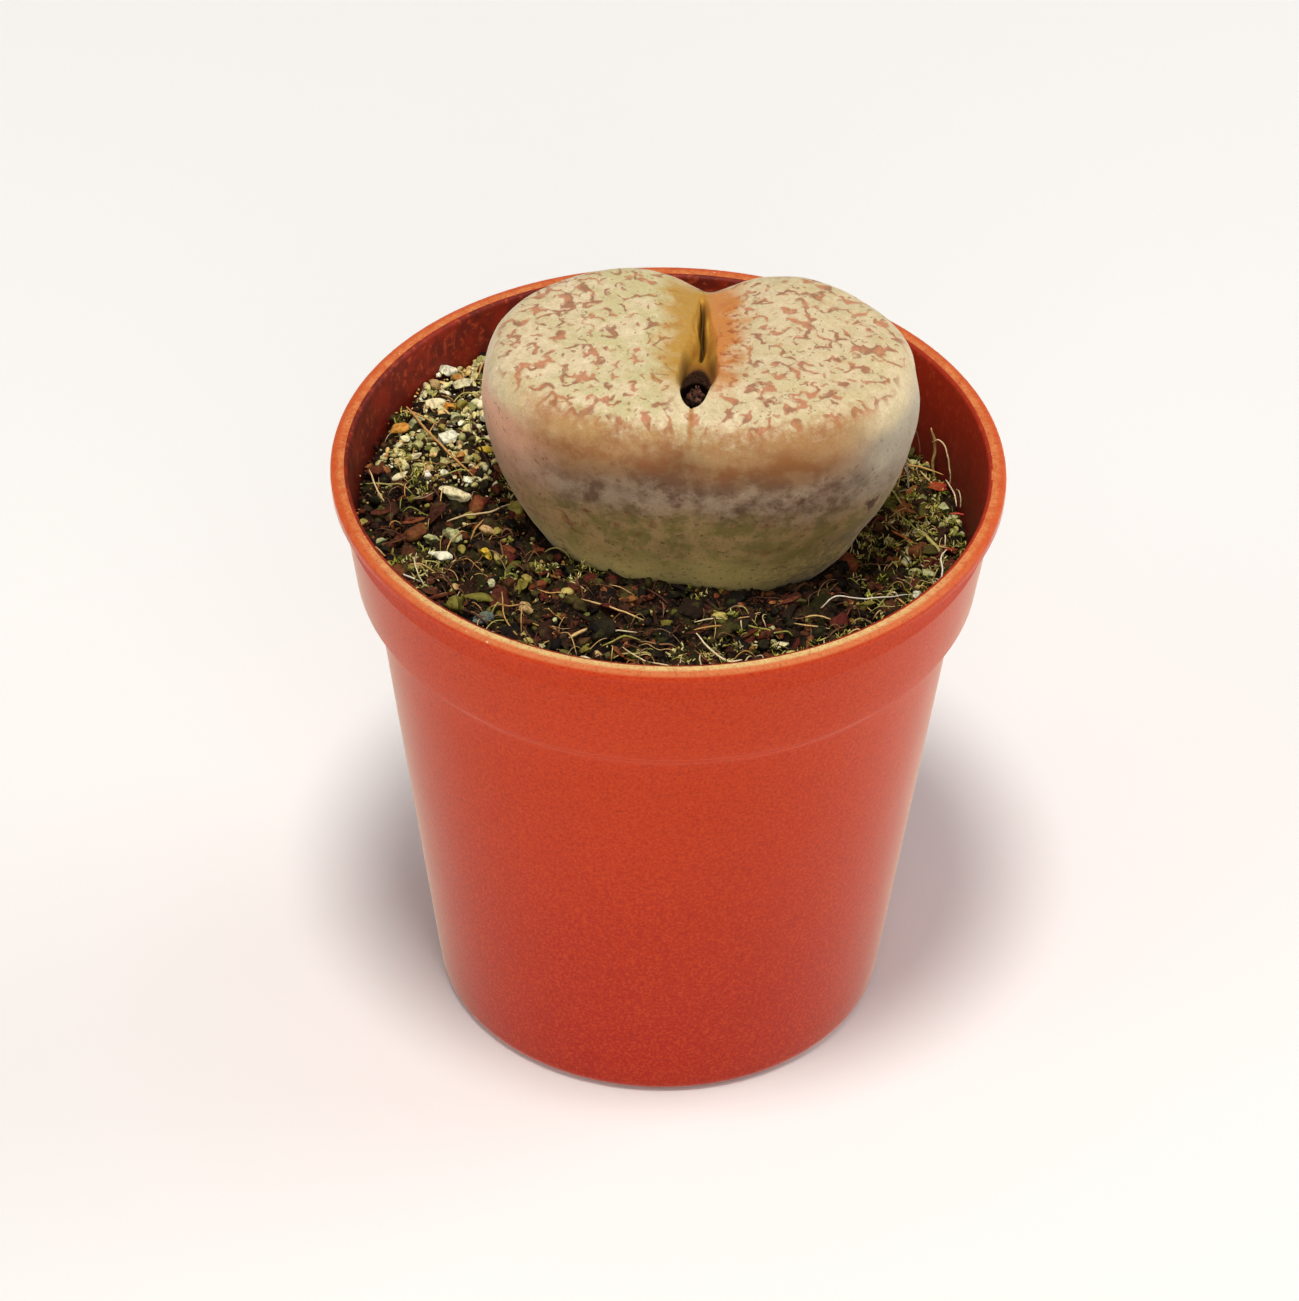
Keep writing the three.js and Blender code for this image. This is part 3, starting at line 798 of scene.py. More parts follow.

    # down in the slit and the hole, darkened with painted shade
    upper = skin.ease(drop, 7, 5.5)
    channel = skin.ease(y, fissure["back"], fissure["front"]) * fissure["halfWidth"] + 0.15
    inSlit = skin.ease(fromSlit / channel, 0.95, 0.6)
    inSlit = inSlit * skin.ease(y, 7.9, 6.6) * skin.ease(y, -6.5, -4.5)
    # painted shade: the slit walls darken deeper down and, much more, towards the hole
    slitWall = skin.mix(skin.ease(drop, 1.2, 2.4), colour(220, 174, 74), colour(172, 128, 42))
    slitWall = skin.mix(skin.ease(stain, 0.4, 0.6) * 0.5, slitWall, colour(168, 88, 32))
    slitWall = skin.mix(skin.ease(y, 0.4, -2.6) * 0.8, slitWall, colour(70, 43, 16))
    base = skin.mix(inSlit * upper * 0.9, base, slitWall)
    back, front = fissure["slit"][:2]
    # painted shade: a dark line along the deep slit
    slitShade = skin.ease(fromSlit, 0.22, 0.08) * skin.ease(y, back, back - 1)
    slitShade = slitShade * skin.ease(y, front - 0.8, front + 0.6)
    base = skin.mix(slitShade * 0.75, base, colour(66, 50, 14))
    along = (y - hole["y"]) / hole["halfLength"] / (skin.ease(y, hole["y"], hole["y"] + 1.5) * 0.4 + 1)
    inHole = ((x - hole["x"]) / hole["halfWidth"]) ** 2 + along**2
    rimDrop = 0.55 + skin.ease(y, -7, -3.4) * 0.75
    # painted shade: the inside of the hole is dark below its rim
    dark = skin.ease(inHole, 1.4, 1.0) * skin.ease(drop - rimDrop, 0.0, 0.7) * upper
    base = skin.mix(dark, base, colour(38, 18, 11))
    base = skin.mix(skin.ease(grain, 0.4, 0.7) * 0.22, base, colour(120, 100, 76))

    relief = skin.ease(drop, 4, 1)
    skin.bump(grain * 0.02, mottle * 0.05, patches * 0.14 * relief, marks * onTop * -0.04)
    return skin.done(base, (slitShade * 0.4 + dark * 0.4 + 0.5 + mottle * 0.14).atMost(1))


def makePlant():
    rings, floor = headRings()
    tip = plantLow.z
    points = skinPoints((hole["x"], hole["y"], floor), rings, (0, 0, tip))
    faces = skinFaces(len(rings), plant["rays"])
    x, y, height = points[[face[0] for face in faces]].T
    within = (np.abs(x - fissureLine(y)) < fissureWidth(y)) & (y > hole["y"] - hole["halfLength"])
    within &= (y < fissure["back"]) & (height > plant["top"] - 5.5)
    finishes = [leafSkin("leafSkin", 0.3, 0.35), leafSkin("slitSkin", 0.0, 0.1)]
    piece = meshPiece("lithops_head", inPot(points), faces, finishes, within)
    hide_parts("plant")
    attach(piece, "root")


makePlant()
print("plant made")


# Last year's seed head: a shrivelled capsule with a few withered threads

seedHead = {"seed": 3, "ribs": 6, "shrink": 0.86, "dimple": 0.35, "threads": 7, "threadRadius": 0.075}


def makeSeedHead():
    low, high = millimetres("seed_head")
    middle = (low + high) / 2
    half = (high - low) / 2
    rng = np.random.default_rng(seedHead["seed"])
    heap = Heap()
    points, faces = spheres[3]
    around = np.arctan2(points[:, 1], points[:, 0])
    ribs = 0.16 * np.cos(seedHead["ribs"] * around) * (1 - points[:, 2] ** 2)
    wrinkled = 1 + ribs + 0.12 * lumps(points, 0.5, 2)
    shrunk = points * wrinkled[:, None] * np.array(half) * seedHead["shrink"]
    dimple = bell(np.hypot(points[:, 0], points[:, 1]), 0.5) * (points[:, 2] > 0)
    shrunk[:, 2] -= seedHead["dimple"] * half.z * dimple
    heap.add(shrunk + np.array(middle), faces)
    for index in range(seedHead["threads"]):
        angle = index / seedHead["threads"] * 2 * math.pi + rng.uniform(-0.3, 0.3)
        reach = rng.uniform(0.5, 0.85)
        foot = np.array([0.3 * math.cos(angle), 0.4 * math.sin(angle), half.z * 0.5])
        end = np.array([reach * half.x * math.cos(angle), reach * half.y * math.sin(angle), half.z * 0.96])
        path = curveThrough([foot, (foot + end) / 2 + (0, 0, 0.12), end], 6) + np.array(middle)
        tube(heap, path, seedHead["threadRadius"], 5)

    husk = Finish("witheredHusk", Roughness=0.75, Specular_IOR_Level=0.3)
    where = husk.place()
    cloud = husk.noise(where, 0.35, detail=3, rough=0.6)
    base = husk.mix(husk.ease(cloud, 0.4, 0.66), colour(38, 20, 14), colour(124, 76, 54))
    husk.bump(cloud * 0.06)
    piece = heap.piece("seed_capsule", [husk.done(base)])
    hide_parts("seed_head")
    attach(piece, "root")


def tube(heap, path, radius, sides, kind=0, taper=0.35):
    # a thin round thread along a path, with closed, tapered ends
    count = len(path)
    along = np.gradient(path, axis=0)
    along /= np.linalg.norm(along, axis=1)[:, None]
    across = np.cross(along[0], (0.3, 0.2, 1))
    rings = []
    angles = np.linspace(0, 2 * math.pi, sides, endpoint=False)
    for index in range(count):
        across = across - along[index] * (across @ along[index])
        across /= np.linalg.norm(across)
        other = np.cross(along[index], across)
        ends = min(index, count - 1 - index) / max(1, count * 0.18)
        size = radius * (taper + (1 - taper) * min(1, ends))
        circle = np.outer(np.cos(angles), across) + np.outer(np.sin(angles), other)
        rings.append(path[index] + size * circle)
    heap.add(skinPoints(path[0], rings, path[-1]), [face[::-1] for face in skinFaces(count, sides)], kind)


makeSeedHead()
print("seed head made")


# The soil: a skin of dark peat that fills the pot around the plant's neck

soil = {
    "level": 44.9,
    "slope": (-0.09, 0.02),
    "mound": (-15, 12, 8, 1.3),  # x, y, spread and height
    "hollow": (17, 14, 9, -0.3),
    "swell": 0.32,
    "sunk": 0.4,  # how far the bare peat lies below the grains
    "crumbs": [(2.3, 0.5), (1.1, 0.38), (0.45, 0.22)],  # width and height of the relief
    "gap": 0.25,  # to the plant
    "wallGaps": (0.04, 0.05),  # at the surface and below it
    "ringHeights": (40.9, 39.4, 28, 15),  # down the wall
    "reach": 25.6,  # from the pot's axis, within which grains and straws lie
    "rays": 540,
    "rings": 60,
}


def soilHeight(x, y):
    height = soil["level"] + soil["slope"][0] * x + soil["slope"][1] * y
    for middleX, middleY, spread, rise in (soil["mound"], soil["hollow"]):
        height = height + rise * bell(np.hypot(x - middleX, y - middleY), spread)
    across = np.sin(x * 1.31 + np.sin(y * 0.9))
    height = height + soil["swell"] * across * np.cos(y * 1.17 + 0.7 * np.sin(x * 0.8))
    return height + soil["swell"] * 0.7 * np.sin(x * 2.6 - y * 1.9 + 1.3) * np.sin(y * 2.3 + x * 0.6)


def neckRadius(angle, height):
    # the head's radius about its own axis, at a height
    shares, drops = np.array(edgeCurve).T
    return outline(angle) * np.interp(plant["top"] - height, drops, shares)


def roomAround(x, y):
    # how far a spot of the soil lies from the plant and from the wall, whichever is less
    height = soilHeight(x, y)
    fromPlant = np.stack([x - plant["centre"][0], y - plant["centre"][1], 0 * x], axis=-1)
    own = turned(fromPlant, (0, 0, -plant["yaw"]))
    ownX, ownY = own[..., 0], own[..., 1]
    toPlant = np.hypot(ownX, ownY) - neckRadius(np.arctan2(ownY, ownX), height + 0.5)
    toWall = wallRadius(height) - np.hypot(x, y)
    return np.minimum(toPlant, toWall)


def ringOfSkin(angles, radius, height):
    # a ring about the plant's axis, in the pot's frame
    return inPot(np.stack([radius * np.cos(angles), radius * np.sin(angles), height + 0 * angles], axis=1))


def wallReach(angles, radius):
    # how far rays from the plant's axis run to a circle about the pot's axis
    headings = angles + plant["yaw"]
    along = plant["centre"][0] * np.cos(headings) + plant["centre"][1] * np.sin(headings)
    squared = plant["centre"][0] ** 2 + plant["centre"][1] ** 2
    return -along + np.sqrt(along**2 - squared + radius**2)


def makeBed():
    angles = np.linspace(0, 2 * math.pi, soil["rays"], endpoint=False)
    tip = plantLow.z - soil["gap"]
    level = np.full(len(angles), soil["level"])
    for _ in range(6):
        foot = ringOfSkin(angles, neckRadius(angles, level) + soil["gap"], level)
        level = soilHeight(foot[:, 0], foot[:, 1])
    rings = []
    for share in np.linspace(0.06, 1, 16):
        height = tip + (level - tip) * share
        rings.append(ringOfSkin(angles, neckRadius(angles, height) + soil["gap"], height))
    inner = neckRadius(angles, level) + soil["gap"]
    topGap, lowGap = soil["wallGaps"]
    outer = wallReach(angles, float(wallRadius(soil["level"])) - topGap)
    for share in np.linspace(0, 1, soil["rings"])[1:]:
        ring = ringOfSkin(angles, inner + (outer - inner) * share, 0)
        x, y = ring[:, 0], ring[:, 1]
        ring[:, 2] = soilHeight(x, y) - soil["sunk"]
        calm = min(1, (1 - share) * 12 + 0.3)
        for index, (width, rise) in enumerate(soil["crumbs"]):
            ring[:, 2] += rise * (1 - 2 * np.abs(flatLumps(x, y, width, 40 + index))) * calm
        rings.append(ring)
    base = pot["recessHeight"] + pot["floor"] + 0.04
    rounding = 1.1
    for height in (*soil["ringHeights"], base + rounding):
        rings.append(ringOfSkin(angles, wallReach(angles, float(wallRadius(height)) - lowGap), height))
    rings.append(ringOfSkin(angles, wallReach(angles, float(wallRadius(base)) - rounding), base))
    points = skinPoints((*plant["centre"], tip), rings, (0, 0, base))

    peat = Finish("darkPeat", Roughness=0.95, Specular_IOR_Level=0.15)
    where = peat.place()
    x, y, height = peat.parts(where)
    cloud = peat.noise(where, 0.9, detail=4, rough=0.7)
    fleck = peat.noise(where, 0.28, detail=2, rough=0.7, shift=3)
    base = peat.mix(peat.ease(cloud, 0.38, 0.66), colour(13, 8, 6), colour(52, 32, 20))
    base = peat.mix(peat.ease(fleck, 0.58, 0.7) * 0.6, base, colour(128, 90, 56))
    mossy = peat.ease(peat.noise(where, 2.4, detail=2, shift=11), 0.52, 0.62) * 0.5
    base = peat.mix(mossy, base, colour(52, 54, 20))
    peat.bump(cloud * 0.25, fleck * 0.1)
    piece = meshPiece("soil_bed", points, skinFaces(len(rings), len(angles)), [peat.done(base)])
    keepAsSoil(piece)


def keepAsSoil(piece):
    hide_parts("soil")
    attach(piece, "root")


makeBed()
print("soil bed made")


# What lies in the soil. Regions are weights from 0 to 1 over the plan.

def grittiness(x, y):
    mound = smooth(-10, -14.5, x) * smooth(1.5, 6, y) * smooth(24.8, 23.4, np.hypot(x, y))
    back = smooth(10, 15, y) * smooth(9, 0, x)
    return np.clip(np.maximum(mound, back * 0.8), 0, 1)


def mossiness(x, y):
    right = smooth(12, 18, x) * smooth(-13, -7, y)
    patch = smooth(0.05, 0.45, flatLumps(x, y, 4.5, 61))
    return np.clip(np.maximum(right * 0.85, patch * 0.5), 0, 1)


def shadowPeat(x, y):
    # partly the peat's own darkness and partly painted shade: dark peat where the plant's shadow falls, in
    # front of it and to its right
    front = smooth(-7, -10, y) * smooth(-13, -9, x) * 0.5
    return np.maximum(front, bell(np.hypot(x - 15.5, y + 7.2), 5))


# depth is the strength of the painted shade down the grains' sides
def grainFinish(name, palette, mottle=0.6, roughness=0.8, green=0.7, depth=1.0):
    # grains that each take one colour of the palette, mottled inside it, with painted light on their tops and
    # painted shade down their sides
    grain = Finish(name, Roughness=roughness, Specular_IOR_Level=0.2)
    where = grain.place()
    colours = [colour(*entry) for entry in palette]
    stops = [(index / len(colours), value) for index, value in enumerate(colours)]
    own = grain.node("ValToRGB", {"stops": stops}, {0: grain.island()})
    own.socket.node.color_ramp.interpolation = "CONSTANT"
    cloud = grain.noise(where, 0.42, detail=3, rough=0.7)
    dark = grain.node("HueSaturation", None, {"Saturation": 1.2, "Value": 0.3, "Color": own})
    light = grain.node("HueSaturation", None, {"Saturation": 0.9, "Value": 1.35, "Color": own})
    base = grain.mix(grain.ease(cloud, 0.52, 0.38) * mottle, own, dark)
    base = grain.mix(grain.ease(cloud, 0.56, 0.68) * mottle * 0.6, base, light)
    film = grain.ease(grain.noise(where, 0.8, detail=2, shift=5), 0.54, 0.66)
    base = grain.mix(film * mottle * green, base, colour(112, 116, 42))
    # painted light and shade: tops brighter, sides darker, by which way the surface faces
    upward = grain.parts(grain.node("NewGeometry", output="Normal"))[2]
    shadedCopy = grain.node("HueSaturation", None, {"Saturation": 1.2, "Value": 0.3, "Color": base})
    litCopy = grain.node("HueSaturation", None, {"Value": 1.2, "Color": base})
    base = grain.mix(grain.ease(upward, 0.75, -0.05) * depth, litCopy, shadedCopy)
    grain.bump(cloud * 0.16)
    return grain.done(base)


grainColours = {
    "pale": [(240, 228, 182), (230, 214, 152), (218, 212, 166), (246, 240, 210), (214, 202, 138),
             (228, 192, 124), (190, 178, 116), (226, 212, 146)],
    "mossy": [(136, 136, 78), (164, 160, 98), (104, 104, 52), (184, 178, 118), (90, 82, 44)],
    "warm": [(190, 132, 68), (156, 98, 54), (210, 166, 100), (128, 76, 46), (178, 148, 100)],
    "peat": [(34, 21, 13), (48, 27, 17), (22, 14, 10), (64, 34, 20), (36, 30, 14), (80, 44, 25), (18, 12, 9)],
    "bark": [(96, 46, 27), (122, 62, 34), (68, 33, 20), (84, 29, 19), (150, 92, 50)],
    "clod": [(54, 30, 18), (86, 46, 26), (38, 23, 14), (66, 54, 25), (112, 64, 34), (48, 34, 17),
             (84, 35, 23)],
    "green": [(116, 104, 42), (88, 84, 32), (156, 140, 68), (72, 62, 26), (190, 172, 96)],
    "cream": [(230, 216, 172)],
    "white": [(238, 234, 204)],
    "orange": [(218, 150, 66)],
    "yellow": [(226, 186, 64)],
    "greyGreen": [(182, 182, 130)],
    "blueGrey": [(106, 116, 112)],
    "olive": [(126, 116, 50)],
    "leafGreen": [(124, 112, 46)],
    "tan": [(200, 164, 112)],
    "brick": [(158, 58, 36)],
    "brown": [(104, 70, 46)],
}
grainKinds = list(grainColours)
dullKinds = ("peat", "bark", "clod", "brick", "brown")
grainFinishes = [grainFinish(name + "Grain", palette, green=0.25 if name in dullKinds else 0.7)
                 for name, palette in grainColours.items()]

# (x, y, length, width, heading in degrees, kind) of the stones that stand out
knownStones = [
    (-17.2, 14.8, 1.9, 1.2, 20, "cream"),
    (-22.3, 9.0, 1.8, 1.3, 10, "orange"),
    (-21.0, 10.2, 1.9, 1.6, 60, "greyGreen"),
    (-18.2, 8.1, 2.0, 1.4, -10, "white"),
    (-17.7, 10.6, 1.7, 1.3, 40, "greyGreen"),
    (-20.9, 6.0, 1.5, 0.9, 25, "cream"),
    (-22.0, 3.4, 1.8, 0.9, 25, "cream"),
    (-16.5, 3.3, 1.2, 1.1, 0, "white"),
    (-17.5, 1.4, 3.0, 1.4, -12, "cream"),
    (-19.6, 4.4, 1.1, 0.9, 0, "tan"),
    (-15.0, 8.6, 1.5, 0.8, -30, "cream"),
    (-15.1, 7.0, 1.6, 0.8, 15, "yellow"),
    (-18.6, 17.0, 1.8, 1.2, 5, "white"),
    (-19.5, 12.6, 2.2, 1.3, 15, "cream"),
    (-18.2, 12.0, 1.5, 1.0, 0, "orange"),
    (-17.5, -3.4, 2.0, 1.3, -40, "greyGreen"),
    (-14.6, -2.8, 1.6, 1.2, 10, "tan"),
    (-18.5, -6.3, 2.7, 1.1, -28, "white"),
    (-14.6, -5.8, 1.4, 1.2, -20, "yellow"),
    (-19.0, -4.5, 1.7, 1.2, 15, "greyGreen"),
    (-23.2, -5.1, 1.0, 0.8, 0, "greyGreen"),
    (-14.7, -13.7, 2.0, 1.4, 5, "blueGrey"),
    (-14.0, -15.7, 1.3, 1.1, 0, "white"),
    (-11.2, -12.2, 1.5, 1.2, -15, "tan"),
    (-15.4, -10.8, 3.2, 1.1, -25, "olive"),
    (-11.6, -9.1, 1.7, 1.3, 35, "leafGreen"),
    (-16.9, -12.8, 2.1, 1.8, 0, "olive"),
    (-17.0, -9.9, 0.8, 0.6, 0, "tan"),
    (-6.5, -16.5, 1.5, 0.9, 10, "leafGreen"),
    (-6.5, -17.5, 1.4, 1.1, 0, "cream"),
    (-5.3, -16.4, 1.1, 0.9, 20, "tan"),
    (-8.9, -12.8, 0.8, 0.7, 0, "greyGreen"),
    (23.0, 6.1, 2.0, 1.3, 20, "greyGreen"),
    (23.4, 5.0, 1.6, 1.1, -10, "greyGreen"),
    (22.6, 3.6, 1.4, 0.9, 30, "mossy"),
    (22.4, 8.4, 1.9, 1.1, -20, "brick"),
    (23.4, 0.6, 1.4, 1.0, 20, "brick"),
    (20.3, -2.6, 1.4, 1.1, 0, "mossy"),
    (21.3, -2.8, 1.3, 1.2, 0, "greyGreen"),
    (20.5, -5.8, 1.4, 1.0, 30, "white"),
    (9.3, -13.4, 1.6, 0.9, 10, "cream"),
    (14.1, -10.0, 2.0, 1.7, 60, "bark"),
    (16.6, -7.2, 2.2, 0.9, 10, "olive"),
    (-16.0, -0.6, 1.3, 1.0, 0, "olive"),
    (-19.0, -1.4, 2.6, 1.2, 55, "bark"),
    (-13.0, -4.6, 1.6, 1.0, -30, "bark"),
    (-4.6, -11.2, 1.8, 1.1, 10, "bark"),
]
grains = {
    "seed": 17,
    "clods": (480, 1.0, 2.5),  # count, smallest and largest length
    "grit": (4200, 0.4, 1.2),
    "crumbs": (2100, 0.35, 1.4),
    "slivers": (260, 0.9, 2.8),
    "dust": (11500, 0.16, 0.5),
}


def clearOfStones(x, y):
    gaps = [np.hypot(x - stone[0], y - stone[1]) - stone[2] * 0.4 for stone in knownStones]
    return np.min(gaps, axis=0)


def scatter(count, margin, rng, clearance=-math.inf):
    # spots spread evenly over the soil, clear of its edges and of the stones that stand out
    spots = np.zeros((0, 2))
    while len(spots) < count:
        radius = soil["reach"] * np.sqrt(rng.random(count))
        angle = rng.random(count) * 2 * math.pi
        x, y = radius * np.cos(angle), radius * np.sin(angle)
        free = (roomAround(x, y) > margin) & (clearOfStones(x, y) > clearance)
        spots = np.vstack([spots, np.stack([x, y], axis=1)[free]])
    return spots[:count]


def pickKind(x, y, rng):
    # painted shade: more peat and less moss where the plant's shadow falls
    gritty, mossy, dark = grittiness(x, y), mossiness(x, y), shadowPeat(x, y)
    mossy *= 1 - dark
    weights = {
        "pale": 0.1 + 6 * gritty + 0.9 * smooth(18, 21, x),
        "mossy": 0.2 + 0.9 * mossy + 0.5 * gritty,
        "green": 0.15 + 0.6 * mossy + 0.35 * gritty,
        "warm": 0.16 + 0.2 * gritty,
        "peat": 1.1 * (1 - 0.8 * gritty) + 2 * dark,
        "bark": 0.35 * (1 - 0.6 * gritty),
    }
    shares = np.array(list(weights.values()))
    return rng.choice(list(weights), p=shares / shares.sum())


def makeGrains():
    rng = np.random.default_rng(grains["seed"])
    stones, clods, crumbs, dust = Heap(), Heap(), Heap(), Heap()

    def lay(heap, level, x, y, size, kind, heading, tilt=0.35, cuts=4, sink=0.2, roughness=0.12):
        shape, faces = chipped(level, np.array(size) / 2, cuts, roughness, rng)
        lean = rng.normal(0, tilt, 2)
        shape = turned(shape, (lean[0], lean[1], heading))
        height = float(soilHeight(x, y)) + size[2] * sink + rng.uniform(-0.05, 0.12)
        heap.add(shape + (x, y, height), faces, grainKinds.index(kind))

    for x, y, length, width, heading, kind in knownStones:
        size = (length, width, width * rng.uniform(0.7, 0.9))
        rough = 0.35 if kind in ("olive", "leafGreen", "bark", "brick") else 0.16
        lay(stones, 3, x, y, size, kind, math.radians(heading), 0.2, 9, 0.45, rough)

    count, smallest, largest = grains["clods"]
    for x, y in scatter(count, 0.7, rng, 0.4):
        gritty, mossy, dark = float(grittiness(x, y)), float(mossiness(x, y)), float(shadowPeat(x, y))
        if rng.random() < gritty * 1.5:
            continue
        kind = rng.choice(["clod", "clod", "bark", "peat"])
        # painted shade: peat clods where the plant's shadow falls
        if rng.random() < (0.07 + 0.33 * mossy) * (1 - dark):
            kind = "green"
        elif rng.random() < dark:
            kind = "peat"
        length = smallest + (largest - smallest) * rng.random() ** 1.6
        size = length * np.array([1, rng.uniform(0.55, 0.85), rng.uniform(0.4, 0.7)])
        lay(clods, 3, x, y, size, kind, rng.uniform(0, 6.3), tilt=0.4, cuts=3, sink=0.12, roughness=0.3)

    count, smallest, largest = grains["grit"]
    for x, y in scatter(count, 0.4, rng, 0.2):
        gritty = float(grittiness(x, y))
        if rng.random() > 0.1 + gritty + 0.3 * smooth(18, 21, x) * smooth(-9, -5, y):
            continue
        kind = pickKind(x, y, rng)
        length = smallest + (largest - smallest) * rng.random() ** 1.6
        size = length * np.array([1, rng.uniform(0.6, 0.9), rng.uniform(0.5, 0.8)])
        lay(stones, 2, x, y, size, kind, rng.uniform(0, 6.3), sink=0.25 + 0.3 * gritty)

    count, smallest, largest = grains["crumbs"]
    for x, y in scatter(count, 0.3, rng, 0.15):
        dull = rng.random() > 0.15 + grittiness(x, y) * 0.85
        kind = rng.choice(["peat", "peat", "peat", "bark", "clod", "green"]) if dull else pickKind(x, y, rng)
        length = smallest + (largest - smallest) * rng.random() ** 2
        size = length * np.array([1, rng.uniform(0.5, 0.9), rng.uniform(0.4, 0.8)])
        lay(crumbs, 1 if length < 0.7 else 2, x, y, size, kind, rng.uniform(0, 6.3), tilt=0.6, cuts=3)

    count, smallest, largest = grains["slivers"]
    for x, y in scatter(count, 0.8, rng, 0.5):
        kind = rng.choice(["bark", "bark", "peat", "clod"])
        length = smallest + (largest - smallest) * rng.random() ** 1.8
        size = (length, length * rng.uniform(0.2, 0.35), length * rng.uniform(0.08, 0.16))
        lay(crumbs, 2, x, y, size, kind, rng.uniform(0, 6.3), tilt=0.3, cuts=5, sink=1.4)

    count, smallest, largest = grains["dust"]
    for x, y in scatter(count, 0.15, rng):
        if rng.random() > 0.35 + grittiness(x, y):
            continue
        length = smallest + (largest - smallest) * rng.random() ** 1.5
        size = length * np.array([1, 0.8, 0.6])
        lay(dust, 1, x, y, size, pickKind(x, y, rng), rng.uniform(0, 6.3), cuts=2, sink=rng.uniform(0.2, 0.9))

    keepAsSoil(stones.piece("grit_stones", grainFinishes, 35))
    keepAsSoil(clods.piece("soil_clods", grainFinishes, 60))
    keepAsSoil(crumbs.piece("soil_crumbs", grainFinishes, 35))
    keepAsSoil(dust.piece("soil_grains", grainFinishes, 60))


makeGrains()
print("grains laid")


# Straws, roots and hairs

